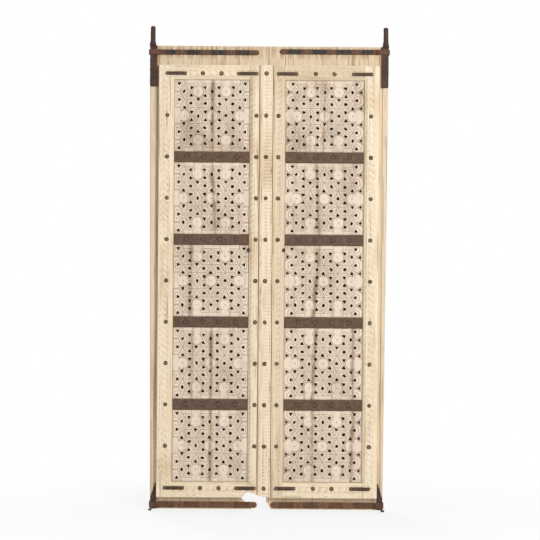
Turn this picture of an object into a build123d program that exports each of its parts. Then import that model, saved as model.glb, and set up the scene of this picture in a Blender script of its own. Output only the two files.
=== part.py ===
from build123d import *
from dataclasses import dataclass
from math import atan2, cos, degrees, pi, sqrt
import os

# A pair of carved door leaves, closed, that turn on iron pivots.
# X runs across the doorway, Y from the carved face to the back, Z up, all in millimetres.
# Each leaf is drawn as a left leaf whose meeting edge is near x = 0, with the front of its
# back boards at y = 0 and the foot of its bottom pivot at z = 0. The right one is then mirrored.

# Back boards and the rounded strip along their outer edge
LEAF_HEIGHT = 2002.0
BOARD_THICKNESS = 28.0
BOARD_GAP = 1.5
MEETING_GAP = 3.0
POST_TAPER = 14.0
EDGE_STRIP_PROUD = 8.0
EDGE_STRIP_RADIUS = 5.0
EDGE_GROOVE = 14.0

# Applied frame: stiles, rails and the bevel round their opening
HEAD_MARGIN = 86.0
SILL_MARGIN = 54.0
TOP_RAIL = 62.0
BOTTOM_RAIL = 66.0
FRAME_THICKNESS = 36.0
FRAME_CHAMFER = 4.0
BEVEL_WIDTH = 14.0
BEVEL_DEPTH = 12.0

# Cover strip over the meeting joint
ASTRAGAL_WIDTH = 56.0
ASTRAGAL_THICKNESS = 44.0
ASTRAGAL_JOINT = 4.5
ASTRAGAL_REBATE = 0.3
ASTRAGAL_RADIUS = 6.0

# Pierced fields: holes on the edges of a triangular lattice
FIELDS = 5
JALI_THICKNESS = 18.0
LATTICE = 69.5
TRIANGLE_RADIUS = 8.5
DIAMOND_LENGTH = 19.0
DIAMOND_WIDTH = 12.0
EDGE_HOLE_RADIUS = 7.0

# Flat iron
CROSS_STRAP_THICKNESS = 4.5
CROSS_STRAP_HEIGHT = 46.0
STRAP_THICKNESS = 5.0
STRAP_JOGGLE = 14.0
STRAP_BEND_RADIUS = 4.0
STRAP_BACK_LEG = 110.0
STRAP_CLEARANCE = 0.5
TOP_STRAP_HEIGHT = 23.0
BOTTOM_STRAP_HEIGHT = 28.0
BOTTOM_STRAP_RISE = 19.0
PLATE_HEIGHT = 14.0
PLATE_THICKNESS = 3.0
PLATE_CORNER = 3.0
PLATE_NAIL_SPACING = 76.0

# Pivots
PIN_INSET = 13.0
PIN_RADIUS = 9.75
PIN_LENGTH = 57.0
PIN_FLARE = 23.0
PIN_FLARE_RADIUS = 12.5
PIN_TIP = 4.0
BAR_WIDTH = 31.0
BAR_LENGTH = 178.0
BAR_THICKNESS = 14.0
BAR_PROUD = 4.0
BAR_CORNER = 6.0
FOOT_RADIUS = 8.5
FOOT_TIP = 3.0
FOOT_LENGTH = 5.0
FOOT_COLLAR = 1.0
LEG_HEIGHT = 112.0
LEG_SHOULDER = 48.0
LEG_POINT = 5.0
LEG_CLEARANCE = 1.0

# Heads of studs, rivets and nails
HEAD_CROWN = 0.45
STUD_RADIUS = 9.5
STUD_HEIGHT = 6.5
STUD_SIDES = 6
STUD_LINE = 29.5
RAIL_STUD_LINE = 26.0
RAIL_STUD_SPACING = 80.0
RIVET_RADIUS = 6.0
RIVET_HEIGHT = 2.5
RIVET_SPACING = 72.0
RIVETS = 4
RIVET_SIDES = 4
NAIL_RADIUS = 7.0
NAIL_HEIGHT = 3.0
NAIL_SPACING = 107.0
NAIL_END = 15.0
NAILS = 4
NAIL_SIDES = 4

# Ledges across the back
LEDGE_HEIGHT = 72.0
LEDGE_THICKNESS = 24.0
LEDGE_INSET = 22.0
LEDGE_CHAMFER = 4.0

# How far a cutting solid reaches past the faces that it opens
OVERCUT = 1.0
# How near an edge's middle is to a corner of a section to be that corner's edge
SAME_PLACE = 1.0
# Degrees that turn a hole to face the other way
HALF_TURN = 180.0


@dataclass(frozen=True)
class Leaf:
    """What differs between the two leaves."""
    name: str
    meeting_margin: float
    inner_stile: float
    opening: float
    outer_stile: float
    edge_strip: float
    edge_hole_inset: float
    half_hole_inset: float
    board_joints: tuple
    top_strap_drop: float
    top_strap_end: float
    bottom_strap_end: float
    pointed_strap: bool
    broken_corner: tuple

    @property
    def width(self):
        frame = self.inner_stile + self.opening + self.outer_stile
        return self.meeting_margin + frame + EDGE_GROOVE + self.edge_strip


# The edge strip's width is at the head. A board joint is its distance from the meeting edge at the
# head and at the foot. A strap end is its distance from the meeting edge. A hole inset is the
# distance of a column of edge holes from the opening's side: the edge column is on both leaves,
# and the half column of cut-off holes is left out where its inset is 0. A broken corner is an
# outline in distances from the meeting edge and the foot of the boards.
LEFT = Leaf(
    name="left", meeting_margin=41.0, inner_stile=39.0, opening=325.0, outer_stile=67.0,
    edge_strip=27.0, edge_hole_inset=20.5, half_hole_inset=0.0,
    board_joints=((371.0, 371.0), (246.0, 246.0), (128.0, 128.0)),
    top_strap_drop=28.0, top_strap_end=41.0, bottom_strap_end=36.0, pointed_strap=False,
    broken_corner=((60, -1), (60, 0), (104, 44), (107, 55), (82, 76), (61, 75), (34, 61), (-1, 56),
                   (-1, -1)))
RIGHT = Leaf(
    name="right", meeting_margin=27.0, inner_stile=44.0, opening=340.0, outer_stile=65.0,
    edge_strip=26.0, edge_hole_inset=32.0, half_hole_inset=13.0,
    board_joints=((342.0, 342.0), (232.0, 200.0), (71.0, 71.0)),
    top_strap_drop=23.0, top_strap_end=41.0, bottom_strap_end=17.0, pointed_strap=True,
    broken_corner=((19.5, -1), (19.5, 0), (14, 9), (8.5, 22), (-1, 32), (-1, -1)))

MEETING_X = -MEETING_GAP / 2
FOOT_Z = FOOT_TIP + FOOT_LENGTH + FOOT_COLLAR
HEAD_Z = FOOT_Z + LEAF_HEIGHT
FRAME_FOOT_Z = FOOT_Z + SILL_MARGIN
FRAME_HEAD_Z = HEAD_Z - HEAD_MARGIN
OPENING_FOOT_Z = FRAME_FOOT_Z + BOTTOM_RAIL
OPENING_HEAD_Z = FRAME_HEAD_Z - TOP_RAIL
OPENING_HEIGHT = OPENING_HEAD_Z - OPENING_FOOT_Z
FIELD_HEIGHT = (OPENING_HEIGHT - (FIELDS - 1) * CROSS_STRAP_HEIGHT) / FIELDS
FIELD_PITCH = FIELD_HEIGHT + CROSS_STRAP_HEIGHT
FIELD_MIDDLES = [OPENING_HEAD_Z - FIELD_HEIGHT / 2 - row * FIELD_PITCH for row in range(FIELDS)]
STUD_ROWS = [FIELD_MIDDLES[0] - row * FIELD_PITCH / 2 for row in range(2 * FIELDS - 1)]
RAIL_STUD_ROWS = [OPENING_HEAD_Z + RAIL_STUD_LINE, OPENING_FOOT_Z - RAIL_STUD_LINE]
BAR_FRONT_Y = -EDGE_STRIP_PROUD - BAR_PROUD
BAR_BACK_Y = BAR_FRONT_Y + BAR_THICKNESS
PIVOT_Y = (BAR_FRONT_Y + BAR_BACK_Y) / 2
ASTRAGAL_LEFT_X = MEETING_X - LEFT.meeting_margin + ASTRAGAL_JOINT
ASTRAGAL_MIDDLE_X = ASTRAGAL_LEFT_X + ASTRAGAL_WIDTH / 2

# The closed pair is centred over the origin.
FRONT_Y = -ASTRAGAL_THICKNESS - STUD_HEIGHT
BACK_Y = BOARD_THICKNESS + LEDGE_THICKNESS
CENTRED = Pos((LEFT.width - RIGHT.width) / 2, -(FRONT_Y + BACK_Y) / 2, 0)


def outer_x(leaf, z=HEAD_Z):
    """The outer edge of the boards, which leans inward towards the foot."""
    return MEETING_X - leaf.width + POST_TAPER * (HEAD_Z - z) / LEAF_HEIGHT


def inner_opening_x(leaf):
    return MEETING_X - leaf.meeting_margin - leaf.inner_stile


def outer_opening_x(leaf):
    return inner_opening_x(leaf) - leaf.opening


def opening_middle_x(leaf):
    return (inner_opening_x(leaf) + outer_opening_x(leaf)) / 2


def frame_outer_x(leaf):
    return outer_opening_x(leaf) - leaf.outer_stile


def block(x0, x1, y0, y1, z0, z1):
    """A squared piece between six planes."""
    return Pos((x0 + x1) / 2, (y0 + y1) / 2, (z0 + z1) / 2) * Box(x1 - x0, y1 - y0, z1 - z0)


def polygon(points):
    return make_face(Polyline(*points, close=True))


def plate(outline, front_y, back_y):
    """A flat piece whose outline is drawn in the plane of the door."""
    return extrude(Plane.XZ.offset(-back_y) * outline, amount=back_y - front_y)


def edges_along_z(solid, x, y):
    """The long edges of a piece at one corner of its section."""
    near = []
    for edge in solid.edges().filter_by(Axis.Z):
        middle = edge.center()
        if abs(middle.X - x) < SAME_PLACE and abs(middle.Y - y) < SAME_PLACE:
            near.append(edge)
    return near


def broken_corner(leaf):
    """The wood that is gone from the foot of the meeting edge, through boards, frame and cover strip."""
    outline = [(MEETING_X - x, FOOT_Z + z) for x, z in leaf.broken_corner]
    return plate(polygon(outline), -ASTRAGAL_THICKNESS - OVERCUT, BOARD_THICKNESS + OVERCUT)


# Boards and ledges

def boards(leaf):
    """The pivot post and the back boards, side by side with open joints."""
    lines = [(outer_x(leaf), outer_x(leaf, FOOT_Z))]
    lines += [(MEETING_X - top, MEETING_X - low) for top, low in leaf.board_joints]
    lines += [(MEETING_X, MEETING_X)]
    pieces = []
    for number, ((top0, low0), (top1, low1)) in enumerate(zip(lines, lines[1:])):
        gap0 = 0 if number == 0 else BOARD_GAP / 2
        gap1 = 0 if number == len(lines) - 2 else BOARD_GAP / 2
        head_edge = [(top0 + gap0, HEAD_Z), (top1 - gap1, HEAD_Z)]
        foot_edge = [(low1 - gap1, FOOT_Z), (low0 + gap0, FOOT_Z)]
        pieces.append(plate(polygon(head_edge + foot_edge), 0, BOARD_THICKNESS) - broken_corner(leaf))
    return pieces


def edge_strip(leaf):
    """The rounded strip on the front of the post, widest at the head."""
    inner = frame_outer_x(leaf) - EDGE_GROOVE
    outline = [(outer_x(leaf), HEAD_Z), (inner, HEAD_Z), (inner, FOOT_Z), (outer_x(leaf, FOOT_Z), FOOT_Z)]
    strip = plate(polygon(outline), -EDGE_STRIP_PROUD, 0)
    front = strip.faces().sort_by(Axis.Y)[0]
    return fillet([edge for edge in front.edges() if edge.length > LEAF_HEIGHT / 2], EDGE_STRIP_RADIUS)


def pivot_post(leaf, board):
    return board + edge_strip(leaf) - top_pivot(leaf) - bottom_pivot(leaf)


def back_ledge(leaf, z):
    x0 = outer_x(leaf) + LEDGE_INSET
    x1 = MEETING_X - LEDGE_INSET
    ledge = block(x0, x1, BOARD_THICKNESS, BACK_Y, z - LEDGE_HEIGHT / 2, z + LEDGE_HEIGHT / 2)
    return chamfer(ledge.faces().sort_by(Axis.Y)[-1].edges(), LEDGE_CHAMFER)


# Applied frame

def opening_bevel(leaf):
    """The mitred slope round the opening, as the wood that the plane took away."""
    slope = BEVEL_WIDTH / BEVEL_DEPTH
    floor_y = -FRAME_THICKNESS + BEVEL_DEPTH
    centre = Pos(opening_middle_x(leaf), (OPENING_HEAD_Z + OPENING_FOOT_Z) / 2)
    sections = []
    for y, grow in ((floor_y, 0), (-FRAME_THICKNESS - OVERCUT, BEVEL_WIDTH + OVERCUT * slope)):
        outline = centre * Rectangle(leaf.opening + 2 * grow, OPENING_HEIGHT + 2 * grow)
        sections.append(Plane.XZ.offset(-y) * outline)
    return loft(sections)


def stile(leaf, x0, x1, outer_edge_x):
    timber = block(x0, x1, -FRAME_THICKNESS, 0, FRAME_FOOT_Z, FRAME_HEAD_Z)
    timber = chamfer(edges_along_z(timber, outer_edge_x, -FRAME_THICKNESS), FRAME_CHAMFER)
    return timber - opening_bevel(leaf) - broken_corner(leaf)


def rail(leaf, z0, z1):
    timber = block(outer_opening_x(leaf), inner_opening_x(leaf), -FRAME_THICKNESS, 0, z0, z1)
    return timber - opening_bevel(leaf) - broken_corner(leaf)


def astragal():
    """The cover strip, nailed to the left leaf and lapping in front of the right one."""
    x1 = ASTRAGAL_LEFT_X + ASTRAGAL_WIDTH
    z0, z1 = FRAME_FOOT_Z, FRAME_HEAD_Z
    strip = block(ASTRAGAL_LEFT_X, x1, -ASTRAGAL_THICKNESS, 0, z0, z1)
    fronts = [edge for x in (ASTRAGAL_LEFT_X, x1) for edge in edges_along_z(strip, x, -ASTRAGAL_THICKNESS)]
    strip = fillet(fronts, ASTRAGAL_RADIUS)
    rebate = block(MEETING_X, x1 + OVERCUT, -ASTRAGAL_REBATE, OVERCUT, z0 - OVERCUT, z1 + OVERCUT)
    return strip - rebate - broken_corner(LEFT)


# Pierced fields

def lattice_points():
    """The lattice over one field: each point with True for a rosette and False for a star."""
    column = LATTICE * sqrt(3) / 2
    points = []
    for i in range(-2, 3):
        for j in range(-2, 3):
            z = LATTICE * (j + i % 2 / 2)
            if z <= 2 * LATTICE:
                points.append((i * column, z, (j - i // 2 - i) % 3 == 0))
    return points


def lattice_edges():
    """The middle of each lattice edge, its direction away from a rosette, and its two ends' kinds."""
    points = lattice_points()
    edges = []
    for number, (x0, z0, rosette0) in enumerate(points):
        for x1, z1, rosette1 in points[number + 1:]:
            if abs(sqrt((x1 - x0) ** 2 + (z1 - z0) ** 2) - LATTICE) < LATTICE / 10:
                turn = degrees(atan2(z1 - z0, x1 - x0)) + (HALF_TURN if rosette1 else 0)
                edges.append(((x0 + x1) / 2, (z0 + z1) / 2, turn, rosette0 or rosette1))
    return edges


def jali_holes(leaf):
    """Diamonds between two stars, triangles from a rosette to a star, and the cut-off edge holes."""
    holes = []
    for x, z, turn, by_rosette in lattice_edges():
        shape = RegularPolygon(TRIANGLE_RADIUS, 3) if by_rosette else diamond_hole()
        holes.append(Pos(x, z) * Rot(0, 0, turn) * shape)
    edge_hole = RegularPolygon(EDGE_HOLE_RADIUS, 3)
    for side in (-1, 1):
        inward = HALF_TURN if side > 0 else 0
        edge_column = side * (leaf.opening / 2 - leaf.edge_hole_inset)
        for step, turn in ((-2, 90), (-1, inward), (1, inward), (2, -90)):
            holes.append(Pos(edge_column, step * LATTICE) * Rot(0, 0, turn) * edge_hole)
        if leaf.half_hole_inset:
            half_column = side * (leaf.opening / 2 - leaf.half_hole_inset)
            for step in (-1.5, -0.5, 0.5, 1.5):
                holes.append(Pos(half_column, step * LATTICE) * Rot(0, 0, inward) * edge_hole)
    return holes


def diamond_hole():
    half, side = DIAMOND_LENGTH / 2, DIAMOND_WIDTH / 2
    return polygon([(half, 0), (0, side), (-half, 0), (0, -side)])


def jali_panel(leaf, row, holes):
    """One pierced board. Its ends meet the next boards behind the middles of the cross straps."""
    middle = FIELD_MIDDLES[row]
    above = 0 if row == 0 else CROSS_STRAP_HEIGHT / 2
    below = 0 if row == FIELDS - 1 else CROSS_STRAP_HEIGHT / 2
    height = FIELD_HEIGHT + above + below
    outline = Pos(0, (above - below) / 2) * Rectangle(leaf.opening, height) - holes
    return plate(Pos(opening_middle_x(leaf), middle) * outline, -JALI_THICKNESS, 0)


# Flat iron

def cross_strap(leaf, row):
    z = FIELD_MIDDLES[row] - FIELD_PITCH / 2
    front = -JALI_THICKNESS - CROSS_STRAP_THICKNESS
    low, high = z - CROSS_STRAP_HEIGHT / 2, z + CROSS_STRAP_HEIGHT / 2
    return block(outer_opening_x(leaf), inner_opening_x(leaf), front, -JALI_THICKNESS, low, high)


def leg_inner_x(leaf):
    return frame_outer_x(leaf) - LEG_CLEARANCE


def wrapped_strap(leaf, edge, z, height, end_x, pointed):
    """A strap nailed across the boards, stepped over the pivot iron and bent round the edge."""
    t = STRAP_THICKNESS
    over_x = leg_inner_x(leaf) + STRAP_CLEARANCE
    back_x = edge + STRAP_BACK_LEG
    step_x = over_x + STRAP_JOGGLE
    section = polygon([
        (end_x, 0), (step_x, 0), (over_x, BAR_FRONT_Y), (edge, BAR_FRONT_Y), (edge, BOARD_THICKNESS),
        (back_x, BOARD_THICKNESS), (back_x, BOARD_THICKNESS + t), (edge - t, BOARD_THICKNESS + t),
        (edge - t, BAR_FRONT_Y - t), (over_x + t / 2, BAR_FRONT_Y - t), (step_x + t / 2, -t),
        (end_x, -t)])
    band = Pos(0, 0, z - height / 2) * extrude(section, amount=height)
    corners = edges_along_z(band, edge - t, BAR_FRONT_Y - t)
    corners += edges_along_z(band, edge - t, BOARD_THICKNESS + t)
    band = fillet(corners, STRAP_BEND_RADIUS)
    half = height / 2
    past = half + OVERCUT
    if pointed:
        waste = polygon([(0, 0), (-past, past), (OVERCUT, past), (OVERCUT, -past), (-past, -past)])
    else:
        waste = Pos((OVERCUT - half) / 2, 0) * Rectangle(past, 2 * past) - Pos(-half, 0) * Circle(half)
    return band - plate(Pos(end_x, z) * waste, -t - OVERCUT, OVERCUT)


def top_strap_z(leaf):
    return HEAD_Z - leaf.top_strap_drop


def top_strap(leaf):
    end_x = MEETING_X - leaf.top_strap_end
    z = top_strap_z(leaf)
    return wrapped_strap(leaf, outer_x(leaf), z, TOP_STRAP_HEIGHT, end_x, leaf.pointed_strap)


def bottom_strap(leaf):
    z = FOOT_Z + BOTTOM_STRAP_RISE
    edge = outer_x(leaf, z + BOTTOM_STRAP_HEIGHT / 2)
    return wrapped_strap(leaf, edge, z, BOTTOM_STRAP_HEIGHT, MEETING_X - leaf.bottom_strap_end, False)


def plate_nail_places(leaf):
    """The two nails of each corner plate: on the stud line of the stile, and out on the rail."""
    places = []
    for z in RAIL_STUD_ROWS:
        for x, side in ((outer_opening_x(leaf), -1), (inner_opening_x(leaf), 1)):
            on_stile = x + side * STUD_LINE
            places.append(((on_stile, z), (on_stile - side * PLATE_NAIL_SPACING, z)))
    return places


def corner_plates(leaf):
    front = -FRAME_THICKNESS - PLATE_THICKNESS
    plates = []
    for (x0, z), (x1, _) in plate_nail_places(leaf):
        outline = Pos((x0 + x1) / 2, z) * Rectangle(PLATE_NAIL_SPACING + PLATE_HEIGHT, PLATE_HEIGHT)
        plates.append(plate(chamfer(outline.vertices(), PLATE_CORNER), front, -FRAME_THICKNESS))
    return plates


# Pivots

def pivot_x(leaf):
    return outer_x(leaf) + PIN_INSET


def top_pivot(leaf):
    """A bar let into the post, drawn out above the boards into a round pin with a flared root."""
    edge = outer_x(leaf)
    outline = Pos(edge + BAR_WIDTH / 2, HEAD_Z - BAR_LENGTH / 2) * Rectangle(BAR_WIDTH, BAR_LENGTH)
    outline = fillet(outline.vertices().sort_by(Axis.Y)[:2], BAR_CORNER)
    bar = plate(outline, BAR_FRONT_Y, BAR_BACK_Y)
    straight_top = PIN_FLARE + PIN_LENGTH
    tip = straight_top + PIN_TIP
    half_section = polygon([
        (0, 0), (PIN_FLARE_RADIUS, 0), (PIN_RADIUS, PIN_FLARE), (PIN_RADIUS, straight_top),
        (PIN_RADIUS - PIN_TIP, tip), (0, tip)])
    pin = revolve(Plane.XZ * half_section, Axis.Z)
    return bar + Pos(pivot_x(leaf), PIVOT_Y, HEAD_Z) * pin


def bottom_pivot(leaf):
    """A leg that narrows upward beside the stile, with a stub pin under the corner."""
    edge = outer_x(leaf, FOOT_Z)
    inner = leg_inner_x(leaf)
    tip = FOOT_Z + LEG_HEIGHT
    outline = polygon([
        (edge, FOOT_Z), (inner, FOOT_Z), (inner, tip), (inner - LEG_POINT, tip),
        (edge, FOOT_Z + LEG_SHOULDER)])
    leg = plate(outline, BAR_FRONT_Y, BAR_BACK_Y)
    collar_z = FOOT_TIP + FOOT_LENGTH
    half_section = polygon([
        (0, 0), (FOOT_RADIUS - FOOT_TIP, 0), (FOOT_RADIUS, FOOT_TIP), (FOOT_RADIUS, collar_z),
        (FOOT_RADIUS + FOOT_COLLAR, FOOT_Z), (0, FOOT_Z)])
    stub = revolve(Plane.XZ * half_section, Axis.Z)
    return leg + Pos(pivot_x(leaf), PIVOT_Y, 0) * stub


# Studs, rivets and nails

def forged_head(radius, height, sides):
    """A hammered head, wide where it bears on the work and smaller at its crown."""
    run_in = radius * cos(pi / sides) * (1 - HEAD_CROWN)
    head = extrude(RegularPolygon(radius, sides), amount=height, taper=degrees(atan2(run_in, height)))
    return Rot(90, 0, 0) * head


def heads(places, radius, height, sides):
    head = forged_head(radius, height, sides)
    return [Pos(*place) * head for place in places]


def frame_studs(leaf):
    lines = (inner_opening_x(leaf) + STUD_LINE, outer_opening_x(leaf) - STUD_LINE)
    places = [(x, -FRAME_THICKNESS, z) for x in lines for z in STUD_ROWS]
    for z in RAIL_STUD_ROWS:
        for side in (-0.5, 0.5):
            places.append((opening_middle_x(leaf) + side * RAIL_STUD_SPACING, -FRAME_THICKNESS, z))
    return heads(places, STUD_RADIUS, STUD_HEIGHT, STUD_SIDES)


def astragal_studs():
    places = [(ASTRAGAL_MIDDLE_X, -ASTRAGAL_THICKNESS, z) for z in STUD_ROWS + RAIL_STUD_ROWS]
    return heads(places, STUD_RADIUS, STUD_HEIGHT, STUD_SIDES)


def strap_rivets(leaf):
    front = -JALI_THICKNESS - CROSS_STRAP_THICKNESS
    places = []
    for z in STUD_ROWS[1::2]:
        for number in range(RIVETS):
            x = opening_middle_x(leaf) + (number - (RIVETS - 1) / 2) * RIVET_SPACING
            places.append((x, front, z))
    return heads(places, RIVET_RADIUS, RIVET_HEIGHT, RIVET_SIDES)


def strap_nails(leaf):
    """Nails along the top and bottom straps, and one through each end of a corner plate."""
    places = []
    ends = ((leaf.top_strap_end, top_strap_z(leaf)), (leaf.bottom_strap_end, FOOT_Z + BOTTOM_STRAP_RISE))
    for end, z in ends:
        for number in range(NAILS):
            places.append((MEETING_X - end - NAIL_END - number * NAIL_SPACING, -STRAP_THICKNESS, z))
    front = -FRAME_THICKNESS - PLATE_THICKNESS
    for pair in plate_nail_places(leaf):
        places += [(x, front, z) for x, z in pair]
    return heads(places, NAIL_RADIUS, NAIL_HEIGHT, NAIL_SIDES)


# Assembly

def leaf_pieces(leaf):
    """Every piece of one leaf by name, still at the place of a left leaf."""
    post, *planks = boards(leaf)
    middle_row = STUD_ROWS[len(STUD_ROWS) // 2]
    ledges = [back_ledge(leaf, z) for z in (STUD_ROWS[0], middle_row, STUD_ROWS[-1])]
    holes = jali_holes(leaf)
    outer, inner = outer_opening_x(leaf), inner_opening_x(leaf)
    pieces = {
        "pivot_post": pivot_post(leaf, post),
        "outer_stile": stile(leaf, frame_outer_x(leaf), outer, frame_outer_x(leaf)),
        "inner_stile": stile(leaf, inner, inner + leaf.inner_stile, inner + leaf.inner_stile),
        "top_rail": rail(leaf, OPENING_HEAD_Z, FRAME_HEAD_Z),
        "bottom_rail": rail(leaf, FRAME_FOOT_Z, OPENING_FOOT_Z),
        "top_pivot": top_pivot(leaf),
        "bottom_pivot": bottom_pivot(leaf),
        "top_strap": top_strap(leaf),
        "bottom_strap": bottom_strap(leaf),
        "corner_plates": corner_plates(leaf),
        "frame_studs": frame_studs(leaf),
        "strap_rivets": strap_rivets(leaf),
        "strap_nails": strap_nails(leaf),
    }
    for number, plank in enumerate(planks, 1):
        pieces[f"board_{number}"] = plank
    for number, ledge in enumerate(ledges, 1):
        pieces[f"back_ledge_{number}"] = ledge
    for row in range(FIELDS):
        pieces[f"jali_panel_{row + 1}"] = jali_panel(leaf, row, holes)
    for row in range(FIELDS - 1):
        pieces[f"cross_strap_{row + 1}"] = cross_strap(leaf, row)
    return pieces


def save(name, piece, mirrored=False):
    solids = piece if isinstance(piece, list) else [piece]
    if mirrored:
        solids = [mirror(solid, about=Plane.YZ) for solid in solids]
    solids = [CENTRED * solid for solid in solids]
    export_step(solids[0] if len(solids) == 1 else Compound(children=solids), f"parts/{name}.step")


os.makedirs("parts", exist_ok=True)
for leaf in (LEFT, RIGHT):
    for name, piece in leaf_pieces(leaf).items():
        save(f"{leaf.name}_{name}", piece, mirrored=leaf is RIGHT)
save("astragal", astragal())
save("astragal_studs", astragal_studs())
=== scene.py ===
# %% [markdown]
# This lesson dresses a pair of old carved pivot doors. The doors were modelled as plain solids in a
# CAD program first: boards at the back, a frame of stiles and rails nailed over them, five pierced
# fields in each leaf, and flat iron straps. Here they get what a solid model leaves out: the carving,
# the hand-cut holes, the hammered iron and the weathered wood. Everything is in metres, x runs along
# the doors, y runs from their face to their back, and z is up.

# %% Load the solid model
import math

import bpy
import numpy as np
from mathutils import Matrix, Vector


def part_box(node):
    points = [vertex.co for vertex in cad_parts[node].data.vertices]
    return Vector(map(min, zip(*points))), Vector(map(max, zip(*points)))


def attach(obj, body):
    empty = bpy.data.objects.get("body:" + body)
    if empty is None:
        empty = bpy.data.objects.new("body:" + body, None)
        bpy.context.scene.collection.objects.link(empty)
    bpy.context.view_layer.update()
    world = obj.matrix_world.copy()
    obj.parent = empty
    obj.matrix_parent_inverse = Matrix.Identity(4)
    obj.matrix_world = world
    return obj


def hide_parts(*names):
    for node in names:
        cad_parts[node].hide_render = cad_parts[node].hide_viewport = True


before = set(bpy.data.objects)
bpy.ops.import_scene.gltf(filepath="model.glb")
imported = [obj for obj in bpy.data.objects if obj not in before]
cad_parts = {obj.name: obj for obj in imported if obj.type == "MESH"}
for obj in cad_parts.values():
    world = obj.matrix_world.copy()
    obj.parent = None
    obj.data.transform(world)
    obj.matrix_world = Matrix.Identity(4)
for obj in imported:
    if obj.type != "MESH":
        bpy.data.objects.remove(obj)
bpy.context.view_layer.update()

MM = 0.001
LEAVES = ("left", "right")


def new_object(name, data):
    """An object in the scene, at the origin."""
    made = bpy.data.objects.new(name, data)
    bpy.context.collection.objects.link(made)
    return made


# %% [markdown]
# The photograph was taken from far away with a long lens, straight at the doors and level with their
# middle, so upright lines stay upright. A camera eight metres off with a narrow view does the same. It
# is turned by a fraction of a degree, because the doors lean that much in the picture.

# %% Camera
CAMERA_DISTANCE = 8.0
VIEW_WIDTH = 2.336
VIEW_MIDDLE = (0.0094, 1.044)
CAMERA_ROLL = -0.42

camera_data = bpy.data.cameras.new("camera")
camera_data.sensor_width = 36.0
camera_data.lens = camera_data.sensor_width * CAMERA_DISTANCE / VIEW_WIDTH
camera = new_object("camera", camera_data)
camera.location = (VIEW_MIDDLE[0], -CAMERA_DISTANCE, VIEW_MIDDLE[1])
camera.rotation_euler = (math.radians(90), math.radians(CAMERA_ROLL), 0)
bpy.context.scene.camera = camera
bpy.context.scene.view_settings.view_transform = "Standard"
print("lens", round(camera_data.lens, 1), "mm")


# %% [markdown]
# The picture has a white ground and hardly any shadow. A white room does that: light comes from all
# sides, and one large soft lamp above the camera, a little to its right, gives the carving its shade.
# The world looks white to the camera and to gloss, but lights the doors more weakly, so that colours
# come out as they are written below. A second lamp behind the doors shows their backs. The floor keeps
# the shadow of the doors and fades into the white farther out.

# %% World, lamps and floor
WORLD_LIGHT = 0.40
KEY_POWER = 128.0
KEY_PLACE = (1.2, -3.9, 2.3)
BACK_POWER = 85.0
BACK_PLACE = (-1.6, 3.6, 2.6)
LAMP_SIZE = 1.3
LAMP_TARGET = (0, 0, 1.0)
FLOOR_RADIUS = 2.4
FLOOR_DROP = 0.0004
# Where the floor begins and ends to fade, and how much white it has from the start
FADE_START = 0.1
FADE_END = 0.85 * FLOOR_RADIUS
FADE_LEAST = 0.75


def srgb(red, green, blue):
    """A colour as an eye or a paint program gives it, 0 to 255, in the renderer's linear values."""
    linear = []
    for value in (red, green, blue):
        value = value / 255
        linear.append(value / 12.92 if value <= 0.04045 else ((value + 0.055) / 1.055) ** 2.4)
    return (*linear, 1.0)


def seen_directly(tree):
    """One for rays that see the ground itself, in the picture, in a gloss or through glass."""
    path = tree.nodes.new("ShaderNodeLightPath")
    total = path.outputs["Is Camera Ray"]
    for name in ("Is Glossy Ray", "Is Transmission Ray"):
        add = tree.nodes.new("ShaderNodeMath")
        add.operation = "ADD"
        add.use_clamp = True
        tree.links.new(total, add.inputs[0])
        tree.links.new(path.outputs[name], add.inputs[1])
        total = add.outputs[0]
    return total


world = bpy.data.worlds.new("white_room")
bpy.context.scene.world = world
world.use_nodes = True
tree = world.node_tree
background = tree.nodes["Background"]
background.inputs["Color"].default_value = (1, 1, 1, 1)
strength = tree.nodes.new("ShaderNodeMapRange")
strength.inputs["To Min"].default_value = WORLD_LIGHT
strength.inputs["To Max"].default_value = 1.0
tree.links.new(seen_directly(tree), strength.inputs["Value"])
tree.links.new(strength.outputs["Result"], background.inputs["Strength"])


def lamp(name, place, power):
    """A square soft lamp that faces the middle of the doors."""
    data = bpy.data.lights.new(name, "AREA")
    data.size = LAMP_SIZE
    data.energy = power
    made = new_object(name, data)
    made.location = place
    direction = np.array(LAMP_TARGET) - np.array(place)
    tilt = math.atan2(math.hypot(direction[0], direction[1]), -direction[2])
    made.rotation_euler = (tilt, 0, math.atan2(direction[0], -direction[1]) + math.pi)


lamp("key", KEY_PLACE, KEY_POWER)
lamp("back", BACK_PLACE, BACK_POWER)


def floor_disc(radius, sides=96):
    """A flat round floor just under the doors."""
    angles = np.linspace(0, 2 * math.pi, sides, endpoint=False)
    points = [(radius * math.cos(a), radius * math.sin(a), -FLOOR_DROP) for a in angles]
    mesh = bpy.data.meshes.new("floor")
    mesh.from_pydata(points, [], [list(range(sides))])
    return new_object("floor", mesh)


floor = floor_disc(FLOOR_RADIUS)
floor_paint = bpy.data.materials.new("floor_paint")
floor_paint.use_nodes = True
tree = floor_paint.node_tree
paint = tree.nodes["Principled BSDF"]
paint.inputs["Base Color"].default_value = srgb(246, 246, 246)
paint.inputs["Roughness"].default_value = 1.0
paint.inputs["Specular IOR Level"].default_value = 0.0
white = tree.nodes.new("ShaderNodeEmission")
place = tree.nodes.new("ShaderNodeTexCoord")
length = tree.nodes.new("ShaderNodeVectorMath")
length.operation = "LENGTH"
fade = tree.nodes.new("ShaderNodeMapRange")
fade.interpolation_type = "SMOOTHSTEP"
fade.inputs["From Min"].default_value = FADE_START
fade.inputs["From Max"].default_value = FADE_END
fade.inputs["To Min"].default_value = FADE_LEAST
outward = tree.nodes.new("ShaderNodeMath")
outward.operation = "MULTIPLY"
blend = tree.nodes.new("ShaderNodeMixShader")
tree.links.new(place.outputs["Object"], length.inputs[0])
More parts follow.
